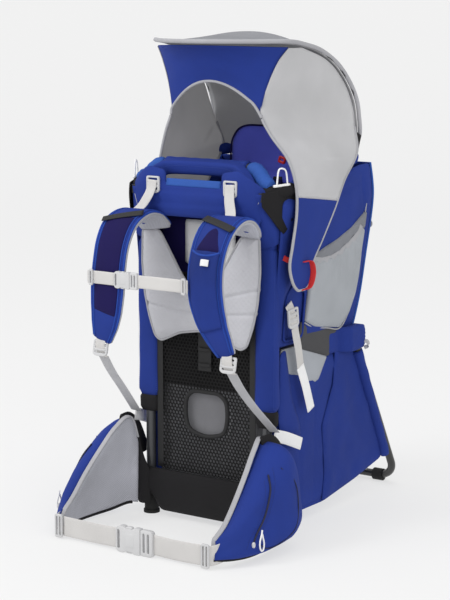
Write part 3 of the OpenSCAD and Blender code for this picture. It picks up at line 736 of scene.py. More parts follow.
roll("rim_roll_front", spaced([rim(-112, 0), rim(112, 0)], 46), 12.6, blue_light, ("rim_pads",))
roll("rim_roll_back", spaced([rim(-92, 326), rim(92, 326)], 34), 11.5, blue)
for name, s in SIDES:
    bend = [rim_bend(s, 266, math.cos(a), math.sin(a)) for a in np.linspace(0, math.radians(80), 12)]
    roll(f"rear_corner_roll_{name}", spaced(bend, 26), 11.5, blue)
for name, s in SIDES:
    roll(f"rim_roll_{name}", spaced([rim(RIM_X * s, 58), rim(RIM_X * s, 262)], 40), 12.6, blue)
    # Blue shoulder from the front bar to the corner, and the black patch under it
    corner = [rim_bend(s, RIM_BEND, math.sin(a), -math.cos(a)) for a in np.linspace(0, math.pi / 2, 9)]
    corner = spaced([rim(s * 104, 0), *corner, rim(s * RIM_X, 62)], 40)
    roll(f"corner_roll_{name}", corner[13:], 13.4, black, once(s, "corner_patches"))
    roll(f"corner_wrap_{name}", corner[:16], 14.6, blue_light)
    plan = curve([[124, -44], [146, -40], [160, -24], [167, 4], [171, 40], [172, 60]], 26)
    grid = []
    for t in np.linspace(0, 1, 22):
        row = []
        for k, (x, y) in enumerate(plan):
            f = k / 25
            top = 648 + (y + 30) * 0.176 if y > -30 else 648
            low = 540 + 30 * f
            z = top + (low - top) * t
            lean = (z - 640) * 0.09 * f
            y += (max(y, -11) - y) * t ** 1.5
            row.append((s * (x + lean), y, z))
        grid.append(row)
    shell(f"shoulder_wrap_{name}", outward(grid, s), 1.8, blue, "frame")
    patch = []
    for t in np.linspace(0, 1, 18):
        row = []
        for k, (x, y) in enumerate(plan[5:24]):
            f = k / 18
            top = 652 + max(0, y + 30) * 0.176
            low = 574 + 52 * abs(2 * f - 1.0) ** 1.2
            z = top + (low - top) * t
            out = 4.6 + 1.2 * math.sin(math.pi * t)
            row.append((s * (x + out * (0.4 + 0.6 * f)), y - out * (1 - f), z))
        patch.append(row)
    shell(f"corner_patch_{name}", outward(patch, s), 1.6, black, "frame")
    # White tie at the corner of the rim
    tube(f"rim_tie_{name}", curve([[s * 163, -12, 664], [s * 164, -8, 690], [s * 168, -2, 694], [s * 171, 6, 688],
                                   [s * 172, 10, 664]], 26), 1.6, webbing_white, "frame")
    tube(f"rim_toggle_{name}", spaced([[s * 160, -18, 662], [s * 174, 14, 664]], 8), 2.6, webbing_white, "frame")


# ---- Bag ----

LEAN = math.radians(5)


def on_side(s):
    def place(u, v, out):
        up = v - 356
        x = 148.2 + out
        return xyz(s * (147 + (x - 147) * math.cos(LEAN) + up * math.sin(LEAN)), u,
                         356 - (x - 147) * math.sin(LEAN) + up * math.cos(LEAN))
    return place


def flat_side(s, x0):
    return lambda u, v, out: xyz(s * (x0 + out), u, v)


rear_line = [[281, 358], [288, 372], [302, 428], [311, 506], [319, 574], [320, 618], [312, 650], [298, 684]]
side_outline = [[-4, 356], [-4, 634], [16, 640], [262, 684]] + rear_line[::-1]
leg_hole = [[30, 366], [30, 452], [48, 474], [78, 474], [96, 452], [96, 366]]
pocket_outline = [[100, 396], [104, 514], [144, 510], [192, 516], [252, 542], [272, 562], [288, 556], [283, 509],
                  [274, 430], [258, 391], [230, 366], [132, 382]]


def pleats(u, v):
    """The pocket's mesh gathers under its elastic hem."""
    near = np.clip((v - 430) / 90, 0, 1)
    return 6 + 3 * np.sin((v - 380) / 60) + near * (1 + 1.3 * np.sin(u / 4.2 + v / 40))


for name, s in SIDES:
    place = on_side(s)
    panel(f"bag_side_{name}", side_outline, place, blue, "frame", once(s, "bag_sides"), step=6,
          holes=(leg_hole,), rise=5, edge=26, thick=1.6, corner=9, wave=3.2, groove=1.8,
          seams=([[22, 618], [24, 370]], [[62, 620], [62, 480]], [[98, 630], [98, 400]],
                 [[266, 662], [296, 560], [278, 390]], [[20, 600], [62, 612], [150, 628], [262, 650]]))
    panel(f"side_pocket_{name}", pocket_outline, place, grey_pocket, "frame", once(s, "side_pockets"),
          step=4, rise=3, edge=12, thick=1.2, corner=6, form=pleats, wave=2.5)
    hem = line_on(place, [[102, 516], [144, 511], [192, 517], [252, 543], [272, 564]], 40, 9)
    band(f"pocket_hem_{name}", hem, (0, 0.15, 1), 6, 1.8, piping, "frame")
    edge = line_on(place, [[292, 606], [288, 558], [283, 509], [274, 430], [258, 391], [230, 364], [180, 372],
                           [132, 380], [98, 394]], 70, 4)
    tube(f"pocket_piping_{name}", edge, 1.5, piping, "frame")
    # Mesh window above the pocket
    panel(f"pocket_back_{name}", [[106, 510], [150, 504], [200, 510], [270, 554], [289, 558], [291, 592], [240, 564],
                                  [170, 540], [110, 526]], place,
          grey_window, "frame", step=5, rise=1.5, edge=10, thick=1, form=lambda u, v: 7 + 1.0 * np.sin(u / 5))
    leg = line_on(place, rounded(leg_hole, 12).tolist() + [rounded(leg_hole, 12)[0].tolist()], 60, 1.5)
    tube(f"leg_binding_{name}", leg[:-1], 2.4, blue, "frame", closed=True)
    panel(f"leg_flap_{name}", [[22, 358], [20, 482], [104, 482], [104, 358]], place, blue, "frame", step=6, rise=1,
          edge=12, thick=1.4, wave=2, form=lambda u, v: -4.5 + 0 * u)
    # Dark leg cover and the pale gusset under it
    low = flat_side(s, 148.5)
    panel(f"leg_cover_{name}", [[92, 396], [220, 372], [236, 348], [196, 312], [84, 346]], low, grey_dark, "frame",
          once(s, "leg_gussets"), step=5, rise=3, edge=14, thick=1.4, wave=2,
          form=lambda u, v: np.clip((v - 350) / 40, 0, 1) * 3.2)
    panel(f"leg_gusset_{name}", [[30, 350], [92, 350], [196, 314], [162, 268], [128, 272], [60, 300], [22, 300]],
          flat_side(s, 146.5), grey_light, "frame", step=5, rise=2.5, edge=14, thick=1.2, wave=2.5)
    # Side wing of the belt mount: blue panel that hangs beside the upright
    panel(f"side_wing_{name}", [[22, 344], [40, 350], [64, 250], [84, 214], [98, 176], [24, 172], [16, 232]],
          flat_side(s, 150.5), blue, "frame", step=5, rise=4, edge=16, thick=1.4, wave=2.5,
          seams=([[26, 184], [94, 188]],))

# Rear wall with its zipped pocket
rear = curve(rear_line, 60)
grid = []
for y, z in rear:
    half = 147 + (z - 356) * math.tan(LEAN) + 1.5
    t = np.linspace(-1, 1, 40)
    out = 7 * (1 - t ** 4) * math.sin(math.pi * min(1, max(0, (z - 356) / 320))) ** 0.5
    wob = np.array([noise.noise(Vector((x * 3, z / 60, 1))) for x in t]) * 2
    grid.append(xyz(t * half, y + 1 + out * 0.8 + wob, z + out * 0.1))
shell("bag_rear_panel", [g[::-1] for g in grid], 1.8, blue, "frame", ("bag_rear",))
for name, s in SIDES:
    tube(f"rear_edge_piping_{name}", [(s * (149 + (z - 356) * math.tan(LEAN)), y + 0.5, z) for y, z in rear], 2.2,
         blue_light, "frame")


def on_rear(u, v, out):
    y = np.interp(v, rear[:, 1], rear[:, 0])
    return xyz(u, y + 7 + out, v)


panel("rear_pocket", [[-108, 392], [-118, 520], [-112, 596], [112, 596], [118, 520], [108, 392]], on_rear, blue,
      "frame", step=7, rise=7, edge=24, thick=2, corner=24, wave=4,
      seams=([[-104, 560], [-60, 584], [60, 584], [104, 560]], [[-104, 568], [-60, 592], [60, 592], [104, 568]]))
zip_line = line_on(on_rear, [[-104, 564], [-60, 588], [0, 590], [60, 588], [104, 564]], 90, 7.5)
tube("rear_zip", zip_line, 2.0 + 0.5 * (np.arange(90) % 2), hard_black, "frame", sides=6)
tube("rear_pocket_piping", line_on(on_rear, rounded([[-108, 392], [-118, 520], [-112, 596], [112, 596], [118, 520],
                                                     [108, 392]], 24).tolist(), 120, 2)[:-1], 1.6, blue_light,
     "frame", closed=True)

# Floor and front wall of the cabin
panel("cabin_front", [[-124, 357], [124, 357], [124, 588], [-124, 588]],
      lambda u, v, out: xyz(u, 16 - out * 0.3, v), navy, "frame", ("cabin_liner",), step=8, rise=5,
      edge=30, thick=1.5, wave=4)
panel("cabin_label", [[-58, 500], [58, 500], [58, 586], [-58, 586]],
      lambda u, v, out: xyz(u, 8.5 - out * 0.3, v), webbing_white, "frame", step=8, rise=1, edge=8,
      thick=0.8, corner=4)
shell("cabin_floor", [[(x, y, 356.5 + math.sin(x / 60)) for x in np.linspace(-112, 112, 14)]
                      for y in np.linspace(17, 277, 14)], 1.5, navy, "frame")
panel("cabin_back_lining", [[-140, 380], [-158, 600], [158, 600], [140, 380]],
      lambda u, v, out: xyz(u, np.interp(v, rear[:, 1], rear[:, 0]) - 8 + out * 0.2, v),
      grey_liner, "frame", step=9, rise=4, edge=30, thick=1.5, wave=5)

# Storage bag: a slack shell with rounded edges
low_profile = [[16, 22], [197, 22], [204, 83], [194, 186], [238, 262], [246, 318], [16, 318]]
ring = rounded(low_profile, [16, 14, 8, 8, 8, 10, 10], 6)
centre = ring.mean(axis=0)
ends = [(143, 0.955), (144.5, 0.985), (143.5, 1.0), (136, 1.006), (110, 1.008)]
rings = []
for x, f in [(-x, f) for x, f in ends] + [(0, 1.012)] + [(x, f) for x, f in ends[::-1]]:
    p = centre + (ring - centre) * f
    rings.append(xyz(x, p[:, 0], p[:, 1]))
sweep("storage_bag", rings, blue, "frame", ("lower_bag",))
for name, s in SIDES:
    panel(f"storage_side_{name}", (centre + (ring - centre) * 0.975).tolist(), flat_side(s, 143.2), blue, "frame",
          step=7, rise=4.0, edge=22, thick=1.4, wave=3, corner=2,
          seams=([[60, 300], [96, 180], [104, 26]], [[150, 300], [150, 30]]))
    tube(f"storage_piping_{name}", [(s * 146.5, y, z) for y, z in curve(
        [[240, 300], [236, 262], [214, 222], [196, 186], [203, 83], [197, 30]], 50)], 1.3, blue, "frame")

# Gussets between the bag and the kickstand
STAND = ("frame", "kickstand", tuple(metres((0, 205, 180))), tuple(metres((0, 300, 180))))
gusset = [[176, 178], [190, 206], [216, 254], [222, 330], [276, 330], [300, 300], [418, 84], [404, 66], [302, 44],
          [178, 24], [186, 83]]
for name, s in SIDES:
    panel(f"gusset_{name}", gusset, flat_side(s, 148.5), blue, STAND, once(s, "gussets"), step=7,
          rise=3, edge=18, thick=1.4, corner=6, wave=5,
          seams=([[211, 293], [232, 286], [269, 269], [281, 220], [240, 200], [198, 189]],))
    # Hem that the leg runs through, and the cover over its hinge
    leg = spaced([[152 * s, 299, 308], [152 * s, 417, 72]], 40)
    swell = 11.4 + 0.5 * np.sin(np.arange(40) * 0.9) - 1.6 * np.exp(-np.arange(40)[::-1] / 2.0)
    tube(f"leg_sleeve_{name}", leg, swell, blue, "kickstand", sides=18)
    panel(f"hinge_cover_{name}", [[190, 318], [262, 314], [304, 318], [310, 340], [300, 364], [190, 364]],
          flat_side(s, 149.5), blue, "frame", step=4, rise=3, edge=10, thick=1.6, corner=10, wave=1.5,
          form=lambda u, v: 19 * np.clip((u - 228) / 22, 0, 1) ** 0.7 * np.clip((312 - u) / 12, 0, 1) ** 0.6)

for name, s in SIDES:
    strap = curve([[80 * s, 203, 96], [80 * s, 290, 84], [80 * s, 374, 68], [80 * s, 426, 44], [80 * s, 452, 22]], 40)
    band(f"stand_strap_{name}", strap, (1, 0, 0), 10, 2, webbing_mid, ("frame", "kickstand",
         tuple(metres((0, 230, 90))), tuple(metres((0, 450, 24)))), once(s, "stand_straps"))
    loop = curve([[s * 170, 296, 330], [s * 176, 300, 328], [s * 177, 301, 320], [s * 170, 298, 316]], 16)
    band(f"gusset_loop_{name}", loop, (0, 0.5, 1), 4, 1.4, webbing_mid, "frame")


# ---- Hip belt ----

wing_top = curve([[148, -24, 140], [152, -46, 198], [161, -82, 182], [168, -120, 146], [173, -160, 106],
                  [174, -195, 70], [172, -224, 50]], 40)
wing_low = curve([[152, -24, 22], [172, -32, 20], [190, -62, 11], [200, -108, 8], [200, -158, 8],
                  [190, -200, 11], [178, -236, 17]], 40)
wing_out = unit(curve([[0.2, 1, 0], [0.75, 0.66, 0], [0.93, 0.37, 0], [0.99, 0.12, 0], [1, -0.05, 0],
                       [0.96, -0.28, 0], [0.88, -0.47, 0]], 40))
bulge_at = np.interp(np.arange(40), [0, 6, 13, 19, 26, 32, 39], [30, 56, 56, 43, 32, 22, 3])
pocket_out = unit(curve([[0.8, 0.6, 0], [0.92, 0.4, 0], [0.93, 0.37, 0], [0.99, 0.12, 0], [1, -0.05, 0],
                         [0.96, -0.28, 0], [0.88, -0.47, 0]], 40))


def wing_point(k, f, out):
    return wing_low[k] * (1 - f) + wing_top[k] * f + wing_out[k] * out


for name, s in SIDES:
    inner, outer = [], []
    f = np.linspace(0, 1, 16)
    for k in range(40):
        round_f = (1 - np.abs(2 * f - 1) ** 4) ** 0.5
        tip = min(1, 0.35 + 0.13 * min(k, 39 - k))
        inner.append([mirror(wing_point(k, a, -8.0 * r * tip), s) for a, r in zip(f, round_f)])
        outer.append([mirror(wing_point(k, a, 6.0 * r * tip), s) for a, r in zip(f[::-1], round_f)])
    rings = np.concatenate([np.array(inner), np.array(outer)], axis=1)
    strips = [0] * 15 + [1] * 17
    wing = sweep(f"hip_wing_{name}", rings, [knit, blue], "frame",
                 (f"hip_wing_{WORD[s]}",), strips=strips)
    edge = [mirror(wing_point(k, 1.0, 0), s) + (0, 0, 0.5) for k in range(2, 40)]
    edge += [mirror(wing_point(39, a, 0), s) for a in np.linspace(1, 0, 8)]
    band(f"wing_binding_{name}", spaced(edge, 70), mirror((0.95, 0.2, 0.1), s), 5.2, 3.0, piping, "frame")
    under = [mirror(wing_point(k, 0.0, 0), s) for k in range(2, 40)]
    tube(f"wing_piping_{name}", under, 3.4, black, "frame")
    # Pocket over the wing's outer face
    def pocket_point(a, b):
        k = 4 + a * 35
        low, high = int(k), min(39, int(k) + 1)
        t = k - low
        g = 0.03 + 0.95 * b
        bulge = (bulge_at[low] * (1 - t) + bulge_at[high] * t) * (1 - abs(2 * b - 1) ** 5) ** 0.6
        edge = min(1, a * 9, (1 - a) * 9) ** 0.5
        face = wing_point(low, g, 6) * (1 - t) + wing_point(high, g, 6) * t
        return mirror(face + pocket_out[low] * bulge * edge, s)
    rows = [[pocket_point(a, b) for b in np.linspace(0, 1, 24)] for a in np.linspace(0, 1, 34)]
    pocket = np.array(rows)
    wob = np.array([[noise.noise(Vector((a / 5, b / 6, 2.0 + s))) for b in range(24)] for a in range(34)])
    pocket[1:-1, 1:-1, 0] += s * 1.8 * wob[1:-1, 1:-1]
    obj = shell(f"hip_pocket_{name}", pocket if s < 0 else pocket[:, ::-1], 1.6, blue, "frame",
                once(s, "hip_pockets"))
    # Zip down the front of the pocket, with its tape and rounded flap seam
    def on_pocket(a, b, out=1.2):
        p, q = np.array(pocket_point(a, b)), np.array(pocket_point(a, min(1, b + 0.02)))
        r = np.array(pocket_point(min(1, a + 0.02), b))
        n = unit(np.cross(r - p, q - p)) * s
        return p + n * out * (1 if n[0] * s > 0 else -1)
    zip_path = curve([on_pocket(a, b) for a, b in ((0.40, 0.93), (0.46, 0.82), (0.56, 0.62), (0.66, 0.44),
                                                   (0.70, 0.30))], 60)
    tube(f"hip_zip_{name}", zip_path, 1.5 + 0.4 * (np.arange(60) % 2), thread_dark, "frame", sides=6)
    for shift in (-0.055, 0.055):
        stitch("frame", thread_dark, curve([on_pocket(a + shift, b, 0.9) for a, b in (
            (0.40, 0.93), (0.46, 0.82), (0.56, 0.62), (0.66, 0.44), (0.70, 0.26))], 40))
    flap = [on_pocket(a, b, 0.8) for a, b in ((0.30, 0.88), (0.22, 0.66), (0.20, 0.42), (0.28, 0.2), (0.42, 0.1),
                                              (0.56, 0.12), (0.64, 0.24))]
    tube(f"pocket_seam_{name}", curve(flap, 60), 0.9, thread_dark, "frame", sides=6)
    # Slider, and its cord pull
    top = on_pocket(0.70, 0.29, 2.5)
    tube(f"zip_slider_{name}", spaced([top + (0, 0, 5), top - (0, 0, 5)], 6), [2, 3.2, 3.4, 3.4, 3.2, 2], hard_grey,
         "frame", sides=8)
    x = 234.5 * s
    cord = curve([[x, -164, 64], [x, -166, 56], [x, -171, 44], [x, -171, 34], [x, -166, 26], [x, -160, 28],
                  [x, -158, 38], [x, -161, 48], [x, -164, 57]], 50)
    tube(f"zip_cord_{name}", cord, 1.5, webbing_white, f"zip_pull_{WORD[s]}",
         (f"zip_pull_{WORD[s]}",))
    # Black stabiliser strap from the wing to the frame, and the white tail above it
    stab = curve([[s * 163, -60, 196], [s * 166, -34, 192], [s * 166, -12, 172], [s * 164, 6, 140],
                  [s * 160, 12, 118]], 30)
    band(f"stabiliser_{name}", stab, (0, 0.55, 0.83), np.interp(np.linspace(0, 1, 30), [0, 0.5, 1], [9, 15, 10]), 5,
         black, "frame", once(s, "stabilisers"), crown=2)
    panel(f"stabiliser_tab_{name}", [[-38, 148], [-14, 150], [-4, 108]], flat_side(s, 172), webbing_mid, "frame",
          step=4, rise=1, edge=6, thick=1.6, corner=2)

# Lumbar corners join the wings to the back pad
for name, s in SIDES:
    grid = [[mirror((122 + 34 * a, -22 + 4 * a - 10 * math.sin(math.pi * a), 24 + b * (66 + 88 * a)), s)
             for b in np.linspace(0, 1, 14)] for a in np.linspace(0, 1, 14)]
    shell(f"wing_root_{name}", outward(grid, s), 3, black, "frame")

BELT_Y, BELT_Z = -243, 25


def belt(name, x0, x1, body, hides):
    x = np.linspace(x0, x1, 40)
    sag = 1.2 * np.sin((x - x0) / (x1 - x0) * math.pi)
    path = xyz(x, BELT_Y + 0.8 * np.sin(x / 26), BELT_Z - sag)
    band(name, path, (0, 0, 1), 19, 1.8, webbing, body, hides, across=10)


belt("hip_web_left", -159, -30, "frame", ("hip_web_socket",))
belt("hip_web_right", 50, 159, ("frame", "hip_clip", tuple(metres((150, BELT_Y, BELT_Z))),
                                tuple(metres((60, BELT_Y, BELT_Z)))), ("hip_web_plug",))


def facing(x, y, z, turn=0.0):
    """Moulding drawn in X and Z about a middle, facing the wearer."""
    c, d = math.cos(turn), math.sin(turn)
    return lambda u, v, out: xyz(x + u * c - v * d, y - out, z + u * d + v * c)


def facing_side(x, y, z, turn=0.0, s=1):
    c, d = math.cos(turn), math.sin(turn)
    return lambda u, v, out: xyz(s * (x + out), y + u * c - v * d, z + u * d + v * c)


def oblong(w, h, x=0, z=0):
    return [[x - w / 2, z - h / 2], [x + w / 2, z - h / 2], [x + w / 2, z + h / 2], [x - w / 2, z + h / 2]]


def buckle(tag, x, y, z, k, socket_body, plug_body, socket_node, plug_node):
    """Side-release buckle, k times the size of the hip buckle."""
    body = [[-45, -20], [-38, -25], [-28, -25], [-24, -21], [-8, -21], [-4, -25], [10, -25], [10, 25], [-4, 25],
            [-8, 21], [-24, 21], [-28, 25], [-38, 25], [-45, 20]]
    scaled = [[a * k, b * k] for a, b in body]
    slot_hole = [[[a * k, b * k] for a, b in oblong(6, 36, -39)]]
    parts = [moulded(f"{tag}_a", scaled, slot_hole, 12.5 * k, facing(x, y, z), hard_grey, socket_body, bevel=2.2 * k)]
    for h in (-1, 1):
        parts.append(moulded(f"{tag}_b{h}", [[p * k, q * k * h] for p, q in [[-23, 19], [-9, 19], [-9, 24.2],
                     [-12, 25.2], [-20, 25.2], [-23, 24.2]]], [], 8 * k, facing(x, y, z), hard_grey, socket_body,
                     bevel=1.2 * k))
    parts.append(moulded(f"{tag}_c", [[p * k, q * k] for p, q in oblong(22, 26, -14)], [], 13.4 * k,
                         facing(x, y, z), hard_grey, socket_body, bevel=1.6 * k))
    join(f"{tag}_socket", parts, (socket_node,))
    holes = [[[a * k, b * k] for a, b in oblong(4.6, 37, 18)], [[a * k, b * k] for a, b in oblong(4.6, 37, 28)]]
    parts = [moulded(f"{tag}_d", [[p * k, q * k] for p, q in [[10.6, -23], [14, -24.5], [34, -24.5], [37.5, -21],
                     [37.5, 21], [34, 24.5], [14, 24.5], [10.6, 23]]], holes, 11 * k, facing(x, y, z), hard_grey,
                     plug_body, bevel=1.8 * k)]
    for h in (-1, 1):
        parts.append(moulded(f"{tag}_e{h}", [[p * k, q * k * h] for p, q in [[12, 15.5], [-2, 16], [-22, 17.2],
                     [-23, 19.6], [-21, 21.6], [-6, 20.6], [12, 20]]], [], 5.6 * k, facing(x, y, z), hard_grey,
                     plug_body, bevel=0.8 * k))
    parts.append(moulded(f"{tag}_f", [[p * k, q * k] for p, q in oblong(32, 5, -4)], [], 5 * k, facing(x, y, z),
                         hard_grey, plug_body, bevel=0.8 * k))
    join(f"{tag}_plug", parts, (plug_node,))


buckle("hip_buckle", 14, BELT_Y, BELT_Z, 1.0, "frame", "hip_clip", "hip_socket", "hip_plug")
buckle("sternum_buckle", -56, -175, 490, 0.64, "sternum", "sternum_clip", "sternum_socket", "sternum_plug")


def ladder(name, place, w, h, body, hides=()):
    """Ladder lock: frame with three bars and a thumb tab below."""
    plate = [[-w / 2, -h * 0.36], [-w * 0.32, -h / 2], [w * 0.32, -h / 2], [w / 2, -h * 0.36], [w / 2, h / 2],
             [-w / 2, h / 2]]
    slots = [oblong(w - 8, h * 0.13, 0, h * q) for q in (-0.24, 0.05, 0.32)]
    parts = [moulded(f"{name}_a", plate, slots, 4.6, place, hard_grey, body, bevel=1.1)]
    for q in (-0.10, 0.185):
        bar = place(np.linspace(-w / 2 + 3, w / 2 - 3, 8), np.full(8, h * q), np.full(8, 1.4))
        parts.append(tube(f"{name}_b{q}", bar, 1.7, hard_grey, body, sides=8))
    return join(name, parts, hides)


for name, s in SIDES:
    ladder(f"yoke_lock_{name}", facing(88 * s, -52.5, 655), 30, 32, "frame", once(s, "ladder_locks"))
    ladder(f"side_lock_{name}", facing_side(168, 38, 412, 0.12, s), 34, 38, "frame")
    slide = [oblong(3.4, 38, -3.6), oblong(3.4, 38, 3.6)]
    moulded(f"hip_slide_{name}", oblong(17, 45), slide, 5, facing(168 * s, -246.5, BELT_Z), hard_grey, "frame",
            once(s, "hip_slides"), bevel=1.3)
    # Webbing of the slide: doubled end on the wing tip
    band(f"slide_web_{name}", curve([[160 * s, -244, BELT_Z], [172 * s, -243, BELT_Z], [181 * s, -232, BELT_Z + 1],
                                     [184 * s, -216, BELT_Z + 2]], 24), (0, 0, 1), 18.5, 1.8, webbing, "frame")
    # Side adjuster: anchor, web down to the belt and its white end
    anchor = curve([[s * 165, 26, 440], [s * 167, 34, 424], [s * 168.5, 42, 398]], 16)
    band(f"stirrup_anchor_{name}", anchor, (0, 0.94, 0.3), 11.5, 1.7, webbing, "frame")
    web = curve([[s * 168.5, 43, 394], [s * 168, 48, 378], [s * 167.5, 58, 350], [s * 166, 70, 306]], 34)
    band(f"stirrup_web_{name}", web, (0, 0.94, 0.3), 11.5, 1.7, webbing,
         f"stirrup_{WORD[s]}", (f"stirrup_{WORD[s]}",))
    end = curve([[s * 166.5, 66, 316], [s * 167.5, 84, 276], [s * 167.5, 104, 226]], 24)
    band(f"stirrup_end_{name}", end, (0, 0.94, 0.42), 12.5, 2.2, webbing_white,
         f"stirrup_{WORD[s]}")
    tail = curve([[s * 163, -16, 197], [s * 165.5, 20, 186], [s * 166, 72, 165]], 24)
    band(f"web_tail_{name}", tail, (0, 0.36, 0.93), 12, 1.9, webbing_white, "frame",
         once(s, "web_tails"))

# Red loop on the free tail of the sunshade, and the tab on the bag that it clips to
band("tail_loop", curve([[189, 34, 520], [193, 58, 518], [195, 64, 496], [193, 54, 472], [189, 30, 468]], 30),
     (1, 0.35, 0), 5.5, 1.6, red, "sunshade")
band("tail_tab", spaced([[160, 2, 532], [167, 8, 528], [178, 14, 522]], 12), (0, 0.3, 1), 5, 1.6, red, "frame")

# Rear clip
hook = facing_side(158, 327, 628, 0.14)
moulded("rear_clip_body", [[-6, -14], [6, -14], [8, -6], [7, 12], [3, 17], [-3, 17], [-7, 12], [-8, -6]],
        [[[-3.5, -8], [3.5, -8], [3.5, 6], [-3.5, 6]]], 11, hook, red_hard, "frame", ("rear_hook",), bevel=2)
band("rear_clip_web", curve([[158, 311, 656], [158, 319, 648], [158, 325, 636], [158, 323, 618]], 20), (1, 0, 0), 7,
     1.8, webbing_mid, "frame")
band("rear_tab", curve([[156, 322, 566], [160, 329, 564], [160, 329, 556], [156, 321, 553]], 16), (1, 0, 0), 6, 1.6,
     webbing_mid, "frame")


# ---- Harness ----

strap_line = [[101, -28, 570], [103, -36, 584], [105, -58, 599], [107, -90, 602], [109, -124, 587],
              [109, -147, 556], [109, -159, 515], [112, -161, 470], [121, -155, 425], [134, -146, 388],
              [143, -140, 366]]
strap_half = [36, 37, 38, 38, 37, 36, 36, 36, 33, 27, 18]
N_STRAP = 90
strap_path = curve(strap_line, N_STRAP)
strap_wide = np.interp(np.linspace(0, 10, N_STRAP), np.arange(11), strap_half)


def strap_frame(s):
    path = mirror(strap_path, s)
    t = tangents(path)
    side = unit(np.array([s * 1.0, 0, 0]) - t * (t @ np.array([s * 1.0, 0, 0]))[:, None])
    up = unit(np.cross(t, side)) * s
    return path, side, up


def strap_rings(s, inset, low, high, crown, first=0, last=N_STRAP, m=14):
    """Rings of a layer of the strap, between two depths from the middle of its foam."""
    path, side, up = strap_frame(s)
    a = np.sin(np.linspace(-math.pi / 2, math.pi / 2, m))
    inset = np.broadcast_to(inset, last - first)
    rings = []
    for k in range(first, last):
        w = strap_wide[k] * inset[k - first]
        end = min(1, 0.55 + 0.15 * min(k - first, last - 1 - k))
        lift = (1 - np.abs(a) ** 4) ** 0.5
        top = path[k] + np.outer(a * w, side[k]) + np.outer(low + (high - low) * (0.5 + 0.5 * lift) * end
                                                            + crown * (1 - a ** 2), up[k])
        base = path[k] + np.outer(a[::-1] * w, side[k]) + np.outer(np.full(m, low), up[k])
        rings.append(np.vstack([top, base]))
    return rings


def strap_band(name, s, lift):
    """Black band sewn across a strap above its pocket."""
    path, side, up = strap_frame(s)
    line = [path[26] + side[26] * a * strap_wide[26] + up[26] * (lift + 1.4 * (1 - a * a))
            + (path[27] - path[26]) * a * 4 for a in np.linspace(-1, 1, 16)]
    band(f"strap_band_{name}", line, tangents(path)[26], 8, 1.8, webbing_black, "harness")


for name, s in SIDES:
    node = f"shoulder_strap_{WORD[s]}"
    path, side, up = strap_frame(s)
    foam = sweep(f"strap_foam_{name}", strap_rings(s, 1.0, 1.0, -8.5, -1.5), knit, "harness", (node,))
    face = sweep(f"strap_face_{name}", strap_rings(s, 0.97, 0.5, 6.5, 1.5), blue, "harness")
    for k, out, r, mat in ((1.0, 0.2, 2.6, piping), (0.985, 3.6, 2.2, piping_blue), (0.80, 6.6, 1.2, piping_blue)):
        for h in (-1, 1):
            edge = path + side * (h * k * strap_wide)[:, None] + up * out
            tube(f"strap_edge_{name}_{int(k * 1000)}_{'in' if h < 0 else 'out'}", edge[1:-1], r, mat, "harness",
                 sides=8)
    if s < 0:
        sweep("strap_inset_L", strap_rings(s, 0.74, 5.5, 8.6, 1.0, 26, 74), navy, "harness")
    for h in (-1, 1):
        stitch("harness", thread_blue, (path + side * (h * 0.9 * strap_wide)[:, None] + up * 7.0)[3:-4])

# Stretch pocket on the right strap, with its open mouth and pull tab
path, side, up = strap_frame(1)
pouch = []
for k in range(40, 76):
    g = (k - 40) / 35
    a = np.linspace(-1, 1, 16)
    lift = 8.4 + (5.5 - 4.5 * g) * (1 - a ** 2) + 0.7 * np.sin(a * 9 + g * 2) * (1 - g)
    pouch.append(path[k] + np.outer(a * 0.8 * strap_wide[k], side[k]) + np.outer(lift, up[k]))
shell("strap_pocket", [p[::-1] for p in pouch], 1.4, blue_mesh, "harness")
mouth = [path[40] + side[40] * a * 0.8 * strap_wide[40] + up[40] * (8.8 + 5.5 * (1 - a ** 2))
         + (path[41] - path[40]) * 2.2 * (1 - a ** 2) for a in np.linspace(-1, 1, 24)]
tube("strap_pocket_hem", mouth, 2.2, piping_blue, "harness")
sweep("strap_mouth_shadow", strap_rings(1, np.linspace(0.2, 0.76, 14), 5.0, 8.3, 0.8, 28, 42), navy, "harness")
strap_band("R", 1, 8.6)
tab = path[45] + side[45] * 4 + up[45] * 15
band("strap_pull_tab", curve([tab - side[45] * 8, tab + up[45] * 6, tab + side[45] * 9], 14), tangents(path)[45], 6,
     1.6, webbing_white, "harness")
strap_band("L", -1, 9)

# Quilted back pad in two lobes
pad_half = [[0, 442], [22, 458], [44, 486], [88, 556], [98, 568], [134, 568], [136, 500], [130, 440], [120, 398],
            [106, 360], [92, 352], [78, 358], [48, 372], [0, 380]]
pad_outline = pad_half + [[-x, z] for x, z in pad_half[-2:0:-1]]


def quilting(u, v):
    a = np.abs(np.sin((u + v) * math.pi / 11))
    b = np.abs(np.sin((u - v) * math.pi / 11))
    return 1.3 * (np.minimum(a, b) ** 0.5 - 0.5)


pad = panel("harness_pad", pad_outline, on_back(-24), quilt, "harness", ("harness_back",), step=2.6, rise=9, edge=20,
            thick=3, corner=10, form=quilting, groove=3.5,
            seams=([[-132, 424], [-60, 416], [60, 416], [132, 424]], [[-136, 470], [-70, 452], [-24, 440]],
                   [[136, 470], [70, 452], [24, 440]]))
tube("harness_pad_binding", [(x, -25, z) for x, z in rounded(pad_outline, 10)], 2.2, piping, "harness", closed=True)

